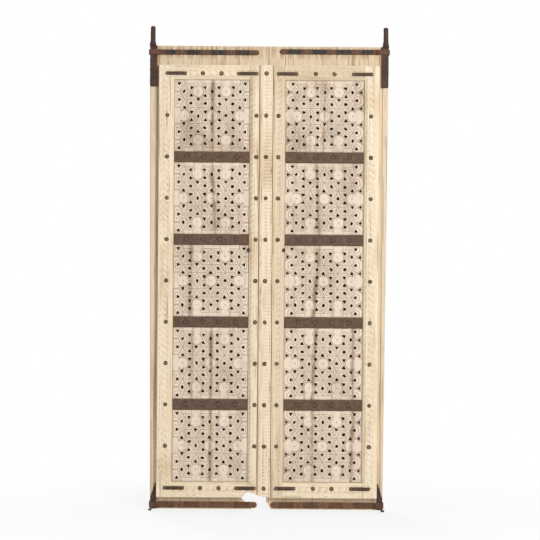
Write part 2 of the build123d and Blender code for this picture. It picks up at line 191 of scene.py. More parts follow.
tree.links.new(length.outputs["Value"], fade.inputs["Value"])
tree.links.new(fade.outputs["Result"], outward.inputs[0])
tree.links.new(seen_directly(tree), outward.inputs[1])
tree.links.new(outward.outputs[0], blend.inputs["Fac"])
tree.links.new(paint.outputs["BSDF"], blend.inputs[1])
tree.links.new(white.outputs["Emission"], blend.inputs[2])
tree.links.new(blend.outputs["Shader"], tree.nodes["Material Output"].inputs["Surface"])
floor.data.materials.append(floor_paint)
print("floor radius", FLOOR_RADIUS, "m, world light", WORLD_LIGHT)


# %% [markdown]
# Old wood and old iron are made of layers: a base colour, grain or scale over it, stains, dirt and painted
# shade in what is cut deep, and bare edges. Each layer here is one noise pattern that mixes in one more
# colour. The small class below keeps a material's nodes together, so that a finish further down reads as a
# list of its layers. All patterns read the piece's own coordinates, so they stay put when a leaf swings.

# %% A short way to write materials
class Finish:
    """A material in the making: each call adds one pattern, value or layer of colour."""

    def __init__(self, name, roughness, metallic=0.0):
        self.material = bpy.data.materials.new(name)
        self.material.use_nodes = True
        self.tree = self.material.node_tree
        self.shader = self.tree.nodes["Principled BSDF"]
        self.shader.inputs["Roughness"].default_value = roughness
        self.shader.inputs["Metallic"].default_value = metallic
        self.place = self.add("ShaderNodeTexCoord").outputs["Object"]
        self.colour = None
        self.height = None

    def add(self, kind, **settings):
        node = self.tree.nodes.new(kind)
        for name, value in settings.items():
            setattr(node, name, value)
        return node

    def feed(self, socket, value):
        """Joins a node's output to a socket, or writes a plain value on it."""
        if isinstance(value, bpy.types.NodeSocket):
            self.tree.links.new(value, socket)
        else:
            socket.default_value = value

    def combine(self, operation, first, second=0.0, clamp=False):
        """One step of arithmetic on node outputs and plain values."""
        node = self.add("ShaderNodeMath", operation=operation, use_clamp=clamp)
        self.feed(node.inputs[0], first)
        self.feed(node.inputs[1], second)
        return node.outputs[0]

    def times(self, first, *others):
        for other in others:
            first = self.combine("MULTIPLY", first, other)
        return first

    def plus(self, first, second):
        return self.combine("ADD", first, second)

    def minus(self, first, second, clamp=False):
        return self.combine("SUBTRACT", first, second, clamp)

    def away(self, value, middle=0.0):
        """How far a value is from a middle one."""
        return self.combine("ABSOLUTE", self.minus(value, middle))

    def axes(self):
        node = self.add("ShaderNodeSeparateXYZ")
        self.feed(node.inputs[0], self.place)
        return node.outputs

    def noise(self, scales, detail=4.0, roughness=0.6, shift=0.0):
        """Noise with its own number of spots in a metre along each axis."""
        stretch = self.add("ShaderNodeMapping")
        stretch.inputs["Scale"].default_value = scales
        stretch.inputs["Location"].default_value = (shift, shift, shift)
        self.feed(stretch.inputs["Vector"], self.place)
        node = self.add("ShaderNodeTexNoise")
        node.inputs["Scale"].default_value = 1.0
        node.inputs["Detail"].default_value = detail
        node.inputs["Roughness"].default_value = roughness
        self.feed(node.inputs["Vector"], stretch.outputs["Vector"])
        return node.outputs["Fac"]

    def between(self, value, low, high, top=1.0):
        """A soft step: nothing below one value, all above another."""
        node = self.add("ShaderNodeMapRange", interpolation_type="SMOOTHSTEP")
        node.inputs["From Min"].default_value = low
        node.inputs["From Max"].default_value = high
        node.inputs["To Max"].default_value = top
        self.feed(node.inputs["Value"], value)
        return node.outputs["Result"]

    def inside(self, value, low, high, soft=0.0004):
        """One between two values of a coordinate, and nothing outside them."""
        above = self.between(value, low - soft, low)
        below = self.between(value, high, high + soft)
        return self.minus(above, below, clamp=True)

    def mark(self, name):
        """A value that the mesh carries at each point, such as how deep it is cut."""
        return self.add("ShaderNodeAttribute", attribute_name=name).outputs["Fac"]

    def layer(self, amount, colour):
        """Mixes one more colour over what is there."""
        if self.colour is None:
            self.colour = colour
            return
        node = self.add("ShaderNodeMix", data_type="RGBA")
        self.feed(node.inputs["Factor"], amount)
        self.feed(node.inputs[6], self.colour)
        self.feed(node.inputs[7], colour)
        self.colour = node.outputs[2]

    def raise_by(self, value, metres):
        """Adds one more pattern to the fine relief."""
        part = self.times(value, metres)
        self.height = part if self.height is None else self.plus(self.height, part)

    def made(self):
        """The finished material."""
        self.feed(self.shader.inputs["Base Color"], self.colour)
        bump = self.add("ShaderNodeBump")
        bump.inputs["Distance"].default_value = 1.0
        bump.inputs["Strength"].default_value = 1.0
        self.feed(bump.inputs["Height"], self.height)
        self.feed(self.shader.inputs["Normal"], bump.outputs["Normal"])
        return self.material


# %% [markdown]
# The wood was limed or bleached by the sun: cream ridges, greyer open grain, tan where water ran, and brown
# in the cuts, which is partly dirt and partly painted shade. The grain runs along each piece, so the same
# recipe takes the direction of the grain, and stretches its noise that way. The mark "hollow" is stored on
# the carved meshes below. It says how deep the tool went, and the brown of dirt and painted shade follows
# it.

# %% Weathered wood
GRAIN_UP = (1.0, 1.0, 0.05)
GRAIN_ACROSS = (0.05, 1.0, 1.0)
WORM_BROWN = srgb(138, 104, 70)
# Black painted as the shade down the holes and in the deepest cuts
DEEP_CUT_SHADE = srgb(14, 9, 5)
FIBRE_HEIGHT = 0.0007
CRACK_DEPTH = 0.0009
SPECK_HEIGHT = 0.0003


def spots(scale, grain):
    return tuple(scale * part for part in grain)


def weathered_wood(name, grain, colours, crack=0.63, shift=0.0, drawn=1.0):
    """Open-grained wood in four colours: its ridges, its ground, its stains, and its dirt and painted shade.

    A lower crack value gives more drying cracks, and drawn is how strongly the grain shows.
    """
    light, mid, stain, dirt_and_shade = colours
    wood = Finish(name, 0.82)
    fibres = wood.noise(spots(420.0, grain), 5.0, 0.65, shift)
    figure = wood.noise(spots(70.0, grain), 3.0, 0.55, shift + 3.0)
    patches = wood.noise((5.0, 5.0, 3.0), 4.0, 0.6, shift + 7.0)
    splits = wood.noise(spots(150.0, (grain[0] ** 1.3, 1.0, grain[2] ** 1.3)), 2.0, 0.5, shift + 11.0)
    specks = wood.noise((260.0, 260.0, 260.0), 3.0, 0.7, shift + 17.0)
    wood.layer(1.0, light)
    wood.layer(wood.between(figure, 0.35, 0.7, drawn), mid)
    wood.layer(wood.between(fibres, 0.48, 0.72, 0.55 * drawn), stain)
    wood.layer(wood.between(patches, 0.5, 0.72, 0.6), stain)
    wood.layer(wood.between(specks, 0.66, 0.74, 0.5), dirt_and_shade)
    cracks = wood.between(splits, crack, crack + 0.05)
    wood.layer(wood.times(cracks, 0.55 * drawn), dirt_and_shade)
    worm_holes = wood.noise((210.0, 210.0, 150.0), 1.5, 0.5, shift + 31.0)
    wood.layer(wood.between(worm_holes, 0.70, 0.75, 0.6), WORM_BROWN)
    # Darker in the cuts, by the mark "hollow": partly dirt, partly painted shade
    hollow = wood.mark("hollow")
    dirt_and_shade_in_cuts = wood.times(hollow, wood.plus(patches, 0.45))
    wood.layer(wood.between(dirt_and_shade_in_cuts, 0.05, 1.0, 0.8), dirt_and_shade)
    # Past one, a cut is painted black: painted shade down the holes and in the deepest cuts
    wood.layer(wood.between(hollow, 1.0, 1.6), DEEP_CUT_SHADE)
    wood.raise_by(fibres, FIBRE_HEIGHT)
    wood.raise_by(cracks, -CRACK_DEPTH)
    wood.raise_by(specks, SPECK_HEIGHT)
    return wood


TAN = srgb(204, 180, 143)
DIRT_AND_SHADE = srgb(158, 128, 92)
LIMED = (srgb(238, 222, 196), srgb(229, 209, 178), TAN, DIRT_AND_SHADE)
WORN_CREAM = srgb(190, 170, 138)

# The right leaf's inner stile and top rail have lost more of their lime than the rest
upright = weathered_wood("limed_wood_upright", GRAIN_UP, LIMED)
x = upright.axes()[0]
on_stile = upright.times(upright.between(x, 0.020, 0.026), upright.between(x, 0.076, 0.072), 0.32)
upright.layer(on_stile, WORN_CREAM)
stile_wood = upright.made()
level = weathered_wood("limed_wood_level", GRAIN_ACROSS, LIMED, shift=5.0)
x, _, z = level.axes()
on_rail = level.times(level.between(z, 1.70, 1.80), level.between(x, -0.2, 0.1, 0.45))
level.layer(on_rail, WORN_CREAM)
rail_wood = level.made()
print("woods", stile_wood.name, rail_wood.name)


# %% [markdown]
# The boards behind are the same wood, but never carved, and they are seen above and below the frame, in the
# groove beside it and over the whole back. Where the pierced fields cover them, their front is painted
# nearly black as painted shade, so that the holes look dark. A box in the piece's own coordinates, the size
# of the opening and only at the front of the boards, keeps that painted shade where it belongs. Rust has run
# from the top straps and the pivots, and a thin dark line along the frame's head and foot is painted shadow
# with some dirt.

# %% Boards, posts and ledges
BOARD_DIRT_AND_SHADE = srgb(116, 88, 62)
BARE = (srgb(222, 203, 174), srgb(210, 189, 158), srgb(178, 154, 122), BOARD_DIRT_AND_SHADE)
HOLE_SHADE = srgb(20, 13, 7)
OCHRE = srgb(168, 130, 84)
STRAP_Z = 1.985
STRAP_FOOT_Z = 1.975
PIVOT_FOOT_Z = 1.833
# The wood beside the pivots' bars, as distances from the middle of the doors
BESIDE_BAR = (0.473, 0.490)
# Brown runs under the top straps: where, how wide and how strong
STRAP_STAINS = ((0.363, 0.003, 0.75), (-0.199, 0.012, 0.4), (-0.436, 0.002, 0.5), (0.455, 0.002, 0.5))
FRAME_FOOT_Z = 0.063
FRAME_HEAD_Z = 1.925
BOARD_FRONT_Y = -0.00075
HOLE_SHADE_REACH = 0.003


def opening_of(leaf):
    """The sides of a leaf's opening, from the width of its rail and the height between its rails."""
    low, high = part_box(f"{leaf}_top_rail")
    return low[0], high[0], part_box(f"{leaf}_bottom_rail")[1][2], low[2]


OPENINGS = {leaf: opening_of(leaf) for leaf in LEAVES}
OPENING_FOOT_Z, OPENING_HEAD_Z = OPENINGS["left"][2:]


def board_wood(name, shift):
    """Bare wood with painted shade behind the fields, painted shadow lines along the frame and rust by the
    irons.
    """
    wood = weathered_wood(name, GRAIN_UP, BARE, 0.6, shift, 0.65)
    x, y, z = wood.axes()
    behind = [wood.inside(x, x0, x1) for x0, x1, _, _ in OPENINGS.values()]
    at_face = wood.inside(y, BOARD_FRONT_Y - HOLE_SHADE_REACH, BOARD_FRONT_Y + HOLE_SHADE_REACH)
    # The boards' front behind each opening is painted nearly black: painted shade seen through the holes
    wood.layer(wood.times(wood.inside(z, OPENING_FOOT_Z, OPENING_HEAD_Z), at_face, wood.plus(*behind)), HOLE_SHADE)
    in_front = wood.minus(1.0, wood.between(y, BOARD_FRONT_Y, BOARD_FRONT_Y + 0.004))
    # A thin dark line on the boards at the frame's head and foot: painted shadow, with some dirt
    for edge in (FRAME_FOOT_Z, FRAME_HEAD_Z):
        frame_shadow_line = wood.minus(1.0, wood.between(wood.away(z, edge), 0.0015, 0.0045))
        wood.layer(wood.times(frame_shadow_line, in_front, 0.75), BOARD_DIRT_AND_SHADE)
    strap_rust = wood.minus(1.0, wood.between(wood.away(z, STRAP_Z), 0.010, 0.038))
    runs = wood.between(wood.noise((60.0, 60.0, 5.0), 4.0, 0.6, shift + 3.0), 0.40, 0.62)
    wood.layer(wood.times(strap_rust, in_front, runs, 0.85), OCHRE)
    at_bar = wood.inside(wood.away(x), *BESIDE_BAR)
    beside_bar = wood.times(wood.inside(z, PIVOT_FOOT_Z, STRAP_FOOT_Z), at_bar)
    wood.layer(wood.times(beside_bar, in_front, 0.7), OCHRE)
    for stain_x, half, strength in STRAP_STAINS:
        spread = wood.plus(wood.times(runs, 0.006), half)
        close = wood.minus(spread, wood.away(x, stain_x))
        streak = wood.times(wood.between(close, -0.001, 0.004), wood.inside(z, FRAME_HEAD_Z, STRAP_Z))
        wood.layer(wood.times(streak, in_front, strength), OCHRE)
    return wood.made()


board_woods = {}
for leaf_number, leaf in enumerate(LEAVES):
    for number in (1, 2, 3):
        name = f"{leaf}_board_{number}"
        board_woods[name] = board_wood(f"{name}_wood", 13.0 * leaf_number + 4.0 * number)
    board_woods[f"{leaf}_pivot_post"] = board_wood(f"{leaf}_post_wood", 21.0 + leaf_number)
ledge_wood = weathered_wood("ledge_wood", GRAIN_ACROSS, BARE, 0.6, 9.0).made()
for name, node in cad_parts.items():
    wood = ledge_wood if "ledge" in name else board_woods.get(name)
    if wood is not None:
        node.data.materials.clear()
        node.data.materials.append(wood)
print("boards dressed", len(board_woods))


# %% [markdown]
# A carved board is nearly flat: its whole relief is three or four millimetres deep. So it is made as a
# fine grid over the face, where each point is pushed in by the depth of the cut at its place, and closed
# with plain sides and a plain back. A displacement modifier could do the same from a picture, but a
# depth worked out stroke by stroke can follow the carver: every stroke gets its own length, slant and
# depth.

# %% Grid slabs with a relief
# Faces that meet at more degrees than this show a sharp edge
SHARP_EDGE = 38.0


def points_of(mesh, kind="co"):
    """The points of a mesh, or another value in threes that it keeps at each of them."""
    values = np.empty(len(mesh.vertices) * 3)
    mesh.vertices.foreach_get(kind, values)
    return values.reshape(-1, 3)


def set_points(mesh, points):
    mesh.vertices.foreach_set("co", points.ravel())


def set_mark(mesh, name, values):
    """Stores one named value at each point of a mesh."""
    mesh.attributes.new(name, "FLOAT", "POINT").data.foreach_set("value", np.asarray(values, dtype=float))


def piece_from(name, points, faces, material, body, replaced=(), marks=None):
    """A mesh in the scene that stands for CAD nodes and rides with a body."""
    mesh = bpy.data.meshes.new(name)
    mesh.from_pydata([tuple(p) for p in points], [], faces)
    for mark, values in (marks or {}).items():
        set_mark(mesh, mark, values)
    mesh.shade_smooth()
    mesh.set_sharp_from_angle(angle=math.radians(SHARP_EDGE))
    mesh.materials.append(material)
    mesh.update()
    hand_over(new_object(name, mesh), body, replaced)


def hand_over(made, body, replaced):
    """Hangs a piece on the body that carries it, and hides the solids that it stands for."""
    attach(made, body)
    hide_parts(*replaced)


def slab(x, z, front_y, back_y):
    """Points and faces of a closed slab over a grid. Rows run up z and columns along x."""
    rows, columns = x.shape
    points = np.stack([x, front_y, z], axis=-1).reshape(-1, 3)
    foot = np.stack([x[0], np.full(columns, back_y), z[0]], axis=-1)
    head = np.stack([x[-1], np.full(columns, back_y), z[-1]], axis=-1)
    ends = (0, columns - 1)
    sides = np.array([[[x[i, j], back_y, z[i, j]] for j in ends] for i in range(1, rows - 1)]).reshape(-1, 3)
    first_foot = rows * columns
    first_side = first_foot + columns
    first_head = first_side + len(sides)
    points = np.concatenate([points, foot, sides, head])

    def front(i, j):
        return i * columns + j

    def back(i, j):
        if i == 0:
            return first_foot + j
        if i == rows - 1:
            return first_head + j
        return first_side + 2 * (i - 1) + (1 if j else 0)

    faces = []
    for i in range(rows - 1):
        faces += [(front(i, j), front(i, j + 1), front(i + 1, j + 1), front(i + 1, j))
                  for j in range(columns - 1)]
        faces.append((front(i, 0), front(i + 1, 0), back(i + 1, 0), back(i, 0)))
        last = columns - 1
        faces.append((front(i, last), back(i, last), back(i + 1, last), front(i + 1, last)))
        low = [back(i, j) for j in (range(columns) if i == 0 else ends)]
        high = [back(i + 1, j) for j in (range(columns) if i == rows - 2 else ends)]
        faces.append(tuple(low[::-1] + high))
    for j in range(columns - 1):
        faces.append((front(0, j), back(0, j), back(0, j + 1), front(0, j + 1)))
        top = rows - 1
        faces.append((front(top, j), front(top, j + 1), back(top, j + 1), back(top, j)))
    return points, faces


def lines_between(low, high, step, extra=()):
    """Evenly spaced grid lines with a few exact ones worked in."""
    count = max(2, round((high - low) / step) + 1)
    evenly = np.linspace(low, high, count)
    kept = {v for v in evenly if all(abs(v - e) > 0.3 * step for e in extra) or v in (evenly[0], evenly[-1])}
    return np.array(sorted(kept | {e for e in extra if low < e < high}))


def ripple(x, z, size, seed):
    """A smooth unevenness between -1 and 1, made of a few long waves."""
    random = np.random.default_rng(seed)
    total = np.zeros_like(x)
    for _ in range(5):
        turn = random.uniform(0, math.pi)
        wave = random.uniform(0.7, 1.8) / size
        place = x * math.cos(turn) + z * math.sin(turn)
        total += np.sin(place * 2 * math.pi * wave + random.uniform(0, 6.3))
    return total / 5


small = slab(*np.meshgrid(range(4), range(3)), np.zeros((3, 4)), 1)
print("slab of a 3 by 4 grid has", len(small[1]), "faces")


# %% [markdown]
# The frame's ornament is a rope of slanted, swelling leaves, one every 27 mm, with a row of thin arcs
# beside it: the carver first cut the leaves free with slanted gouge strokes, then rounded them, then
# cut the arcs freehand. The rope is a wave whose valleys are sharp and whose crests are round, and it
# slants across its band. Each arc is a groove round a short curve that runs out at both ends. All of
# it is given across the board, from its outer edge, so that one description serves a stile and a
# rail. Round each stud the wood stays plain.

# %% The rope and its arcs
STUD_CLEAR = 0.0125

# A rope: where its band starts and ends across, its slant, its bow, its pitch and its depth.
# An arc: start across and along, end across and along, bow, half width and depth. In millimetres.
CARVING = {
    "left_outer_stile": (
        (20, 45, -0.85, -0.010, 27.2, 3.2),
        [(19, -12, 19, 12, -9, 2.4, 2.4), (47, -8, 52, 7, 2, 2.2, 1.8), (9, -2, 12, 3, 0, 2.2, 1.6)]),
    "right_outer_stile": (
        (20, 44, -0.80, -0.012, 27.8, 3.2),
        [(19, -12, 19, 12, -9, 2.4, 2.4), (46, -8, 49, 7, 2, 2.0, 1.6), (8, -3, 9, 3, 0, 2.0, 1.5)]),
    "left_inner_stile": (
        (3, 21, 0.70, 0.012, 25.0, 3.2),
        [(13, 0, 17, 6, 0, 2.2, 2.4)]),
    "right_inner_stile": (
        (19, 36, 0.75, 0.012, 24.8, 3.6),
        [(13, -8, 13, 8, -3, 2.0, 1.5), (17, 0, 21, 5, 0, 2.4, 2.6)]),
    "rail": (
        (21, 47, 0.45, 0.012, 28.5, 3.6),
        [(17, -13, 17, 13, -11.5, 2.4, 2.6), (13, -5, 13, 5, -4.5, 1.8, 1.6), (4, 12, 5, 15, 0, 2.2, 1.6)])}


def cut_stroke(depth, across, along, start, end, bow, half_width, deepest):
    """Cuts one stroke into a depth map: a bowed groove that runs out at both ends."""
    (a0, s0), (a1, s1) = start, end
    reach = abs(bow) + half_width * 1.5
    rows = np.where((along[:, 0] > min(s0, s1) - reach) & (along[:, 0] < max(s0, s1) + reach))[0]
    if len(rows) == 0:
        return
    part = slice(rows[0], rows[-1] + 1)
    da, ds = a1 - a0, s1 - s0
    length = math.hypot(da, ds)
    a, s = across[part] - a0, along[part] - s0
    way = (a * da + s * ds) / length ** 2
    aside = (a * ds - s * da) / length - bow * 4 * way * (1 - way)
    run = np.clip(np.sin(np.clip(way, 0, 1) * math.pi), 0, 1) ** 0.6
    groove = np.clip(1 - (aside / (half_width * (0.45 + 0.55 * run) + 1e-6)) ** 2, 0, 1) ** 0.75
    depth[part] = np.maximum(depth[part], deepest * run * groove)


def cut_rope(across, along, band, seed):
    """The slanted leaves of the rope, as a depth that is least on their crests."""
    low, high, slant, bow, pitch, deepest = band
    place = (across / MM - low) / (high - low)
    centred = across / MM - (low + high) / 2
    uneven = 1.6 * ripple(across, along, 0.09, seed) + 0.8 * ripple(across, along, 0.03, seed + 5)
    phase = ((along / MM - slant * centred - bow * centred ** 2 + uneven) / pitch) % 1.0
    crest = np.sin(math.pi * phase) ** 0.55
    crest *= 1 - 0.25 * np.exp(-((phase - 0.3) / 0.06) ** 2)
    border = np.sqrt(np.clip(place / 0.16, 0, 1) * np.clip((1 - place) / 0.16, 0, 1))
    strength = deepest * MM * (0.85 + 0.25 * ripple(across, along, 0.16, seed + 9))
    rope = strength * (1 - crest * border) * np.clip(border * 3, 0, 1)
    return np.where((place > 0) & (place < 1), rope, 0)


def carve_band(across, along, carving, studs, seed, low, high):
    """The whole ornament on one board, as a depth at each grid point."""
    random = np.random.default_rng(seed)
    band, strokes = carving
    pitch = band[4] * MM
    depth = cut_rope(across, along, band, seed)
    for middle in np.arange(math.ceil(low / pitch) * pitch, high, pitch):
        for a0, s0, a1, s1, bow, half_width, deepest in strokes:
            shift = random.normal(0, 0.9, 4) * MM
            size = random.uniform(0.7, 1.2)
            start = (a0 * MM + shift[0], middle + s0 * MM + shift[1])
            end = (a1 * MM + shift[2], middle + s1 * MM + shift[3])
            width = half_width * MM * size
            cut_stroke(depth, across, along, start, end, bow * MM, width, deepest * MM * size)
    for a, s in studs:
        away = np.hypot(across - a, along - s)
        depth *= np.clip((away - 0.75 * STUD_CLEAR) / (0.5 * STUD_CLEAR), 0, 1)
    return depth


# %% [markdown]
# The frame pieces take their places from the solids, and the planed slope round the opening with its
# mitred corners from the distance to the opening. Their outer edges are worn round, and the face rises
# and falls a little, as a hand plane leaves it.

# %% Stiles and rails
BEVEL_WIDTH = 0.014
BEVEL_DEPTH = 0.012
EDGE_WEAR = 0.003
WORN_DEPTH = 0.0035
STRIP_STEP = 0.0023
# Both inner stiles come this much nearer to the cover strip than their solids, at low and high x
WIDER = {"right_inner_stile": (0.0088, 0.0), "left_inner_stile": (0.0, 0.0022)}
# That wider edge of the right one lies lower than its face
SHOULDER = 0.006
SHOULDER_DEPTH = 0.003
# A scored line runs along the bevel
LINE_INSET = 0.0035
LINE_HALF = 0.0011
LINE_DEPTH = 0.0007
# A cut of this depth is darkened fully, partly as dirt and partly as painted shade
FULLY_DARKENED_DEPTH = 0.0046


def head_places(node_name, near=0.012):
    """Where the heads in one node sit: the middle of each, and the height it stands on."""
    places = []
    for point in points_of(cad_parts[node_name].data):
        for group in places:
            if np.hypot(group[0][0] - point[0], group[0][2] - point[2]) < 2 * near:
                group.append(point)
                break
        else:
            places.append([point])
    middles = []
    for group in places:
        corners = np.array(group)
        low, high = corners.min(axis=0), corners.max(axis=0)
        middles.append(((low[0] + high[0]) / 2, high[1], (low[2] + high[2]) / 2))
    return middles


def slope_depth(x, z, opening):
    """How far the bevel drops the face, from the distance outside the opening."""
    x0, x1, z0, z1 = opening
    outside = np.maximum(np.maximum(x0 - x, x - x1), np.maximum(z0 - z, z - z1))
    return BEVEL_DEPTH * np.clip(1 - outside / BEVEL_WIDTH, 0, 1)


def frame_strip(leaf, part, material, seed, foot_of=None):
    """A carved stile or rail: a slab with bevel, worn edges, carving and a slightly wavy face."""
    name = f"{leaf}_{part}"
    carving = CARVING.get(name, CARVING["rail"])
    low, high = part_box(name)
    wider = WIDER.get(name, (0.0, 0.0))
    low[0] -= wider[0]
    high[0] += wider[1]
    opening = OPENINGS[leaf]
    upright = "stile" in part
    outer_low = abs(opening[0] - low[0]) > 0.002
    bevel_x = [opening[0] - BEVEL_WIDTH, opening[1] + BEVEL_WIDTH]
    bevel_z = [opening[2] - BEVEL_WIDTH, opening[3] + BEVEL_WIDTH, opening[2], opening[3]]
    wear_x = [low[0] + EDGE_WEAR, high[0] - EDGE_WEAR, low[0] + 0.001, high[0] - 0.001]
    x_lines = lines_between(low[0], high[0], STRIP_STEP, bevel_x + (wear_x if upright else []))
    x, z = np.meshgrid(x_lines, lines_between(low[2], high[2], STRIP_STEP, bevel_z))

    def from_outer_edge(px, pz):
        if upright:
            return px - low[0] if outer_low else high[0] - px
        return high[2] - pz if part == "top_rail" else pz - low[2]

    across = from_outer_edge(x, z)
    studs = []
    for px, _, pz in head_places(f"{leaf}_frame_studs"):
        if low[0] < px < high[0] and low[2] < pz < high[2]:
            studs.append((from_outer_edge(px, pz), pz if upright else px))
    if upright:
        width = high[0] - low[0]
        carved = carve_band(across, z, carving, studs, seed, low[2] + 0.02, high[2] - 0.02)
    else:
        width = high[2] - low[2]
        carved = carve_band(across.T, x.T, carving, studs, seed, low[0] + 0.005, high[0] - 0.005).T
    carved *= np.clip((width - BEVEL_WIDTH - across) / 0.003, 0, 1)
    depth = slope_depth(x, z, opening)
    line = np.exp(-((across - (width - BEVEL_WIDTH - LINE_INSET)) / LINE_HALF) ** 2)
    worn = np.zeros_like(x)
    if upright:
        worn = WORN_DEPTH * np.clip(1 - across / EDGE_WEAR, 0, 1) ** 2
    if name == "right_inner_stile":
        worn += SHOULDER_DEPTH * np.clip((SHOULDER + 0.003 - across) / 0.003, 0, 1)
    wavy = 0.0005 * (1 + ripple(x, z, 0.3, seed)) + 0.00025 * (1 + ripple(x, z, 0.06, seed + 1))
    front_y = low[1] + depth + carved + worn + wavy + LINE_DEPTH * line
    if foot_of is not None:
        z = np.maximum(z, foot_of(x))
    points, faces = slab(x, z, np.minimum(front_y, high[1] - 0.001), high[1])
    # Darker in the carving, the scored line, down the bevel and most at its foot: partly dirt, partly
    # painted shade
    slope_foot = np.clip((depth / BEVEL_DEPTH - 0.8) / 0.2, 0, 1)
    dirt_and_shade = carved / FULLY_DARKENED_DEPTH + 0.3 * line + 0.25 * depth / BEVEL_DEPTH + 0.5 * slope_foot
    hollow = np.zeros(len(points))
    hollow[:x.size] = dirt_and_shade.ravel()
    piece_from(f"{name}_carved", points, faces, material, f"{leaf}_leaf", [name],
               {"hollow": hollow})
    print(name, "faces", len(faces), "one leaf every", carving[0][4], "mm")


# %% [markdown]
# The foot of the meeting edge has rotted away on the left leaf. The break runs through the boards, the
# stile and the cover strip, and it is drawn once, as heights over the place across the leaf.

# %% The broken foot
BREAK_X = (-0.1090, -0.0900, -0.0835, -0.0625, -0.0355, -0.0005, 0.003)
BREAK_Z = (0.0590, 0.0770, 0.0850, 0.0840, 0.0700, 0.0650, 0.0630)


def broken_foot(x):
    """The height that the wood now ends at, ragged along the grain."""
    ragged = 0.0022 * np.sin(x * 1900) * np.sin(x * 830 + 1.0)
    line = np.interp(x, BREAK_X, BREAK_Z) + ragged
    return np.where((x > BREAK_X[-1]) | (x < BREAK_X[0]), 0.0, line + 0.002)


frame_strip("left", "outer_stile", stile_wood, 11)
frame_strip("left", "inner_stile", stile_wood, 12, broken_foot)
frame_strip("left", "top_rail", rail_wood, 13)
frame_strip("left", "bottom_rail", rail_wood, 14, broken_foot)
frame_strip("right", "inner_stile", stile_wood, 15)
frame_strip("right", "outer_stile", stile_wood, 16)
frame_strip("right", "top_rail", rail_wood, 17)
frame_strip("right", "bottom_rail", rail_wood, 18)


# %% [markdown]
# The cover strip over the meeting joint has another ornament: two columns of small arcs, one above the
# other like scales, between two plain margins. Each arc is cut steeply at its lower side and runs out
# upward, so the depth is a sawtooth along a line that bows up in the middle of each column.

# %% Cover strip
SCALE_PITCH = 0.0148
SCALE_COLUMNS = ((0.0182, 0.0348), (0.0354, 0.0520))
SCALE_BOW = 0.0050
SCALE_DEPTH = 0.0040
STRIP_EDGE_RADIUS = 0.006
STRIP_BACK_Y = -0.00105
# The scored lines beside the columns: place across, half width; and their depth
MARGIN_LINES = ((0.0162, 0.0012), (0.0532, 0.0010))
MARGIN_DEPTH = 0.0008
# Shares of the edge's radius at which the grid has a line of its own
EDGE_SHARES = (0.08, 0.3, 1.0)
STRIP_COLOURS = (srgb(240, 224, 202), srgb(230, 212, 184), TAN, DIRT_AND_SHADE)
# The left margin, painted tan as the shade on the strip's left side, and the bands where brown blots lie,
# both in x
LEFT_MARGIN_SHADE = (-0.040, -0.0240)
BLOTTED = ((-0.037, -0.027), (0.009, 0.015))


def scale_depth(across, along):
    """The depth of the arcs on the cover strip."""
    depth = np.zeros_like(across)
    for low, high in SCALE_COLUMNS:
        place = (across - (low + high) / 2) / ((high - low) / 2)
        phase = ((along - SCALE_BOW * (1 - place ** 2)) / SCALE_PITCH) % 1.0
        tooth = np.clip(1 - phase / 0.85, 0, 1) ** 1.3 * np.clip(phase / 0.10, 0, 1)
        depth = np.maximum(depth, SCALE_DEPTH * tooth * np.clip((1 - abs(place)) / 0.12, 0, 1))
    return depth


low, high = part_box("astragal")
edge_lines = [low[0] + share * STRIP_EDGE_RADIUS for share in EDGE_SHARES]
edge_lines += [high[0] - share * STRIP_EDGE_RADIUS for share in EDGE_SHARES]
x_lines = lines_between(low[0], high[0], 0.0019, edge_lines)
x, z = np.meshgrid(x_lines, lines_between(low[2], high[2], 0.0021))
across = x - low[0]
carved = scale_depth(across, z + 0.0012 * ripple(x, z, 0.05, 31))
for px, _, pz in head_places("astragal_studs"):
    carved *= np.clip((np.hypot(x - px, z - pz) - 0.010) / 0.006, 0, 1)
fall = np.clip(STRIP_EDGE_RADIUS - np.minimum(x - low[0], high[0] - x), 0, STRIP_EDGE_RADIUS)
rounded = STRIP_EDGE_RADIUS - np.sqrt(np.maximum(STRIP_EDGE_RADIUS ** 2 - fall ** 2, 0))
wavy = 0.0005 * (1 + ripple(x, z, 0.35, 32)) + 0.0002 * (1 + ripple(x, z, 0.05, 33))
margin = sum(np.exp(-((across - place) / half) ** 2) for place, half in MARGIN_LINES)
front_y = low[1] + carved + rounded + wavy + MARGIN_DEPTH * margin
z = np.maximum(z, broken_foot(x))
points, faces = slab(x, z, front_y, STRIP_BACK_Y)
hollow = np.zeros(len(points))
# Darker in the arcs, the margin lines and over the rounded edges: partly dirt, partly painted shade
hollow[:x.size] = (carved / SCALE_DEPTH * 0.55 + 0.3 * margin + 0.5 * rounded / STRIP_EDGE_RADIUS).ravel()
wood = weathered_wood("cover_strip_wood", GRAIN_UP, STRIP_COLOURS, shift=2.0)
strip_x = wood.axes()[0]
blots = wood.between(wood.noise((150.0, 150.0, 13.0), 4.0, 0.6, 6.0), 0.54, 0.66)
blotted = wood.plus(wood.inside(strip_x, *BLOTTED[0]), wood.inside(strip_x, *BLOTTED[1]))
# The left margin is painted tan: painted shade on the strip's left side
wood.layer(wood.times(wood.inside(strip_x, *LEFT_MARGIN_SHADE), 0.55), srgb(216, 190, 152))
wood.layer(wood.times(blots, blotted, 0.8), srgb(156, 116, 76))
piece_from("astragal_carved", points, faces, wood.made(), "left_leaf", ["astragal"],
           {"hollow": hollow})
print("cover strip faces", len(faces))


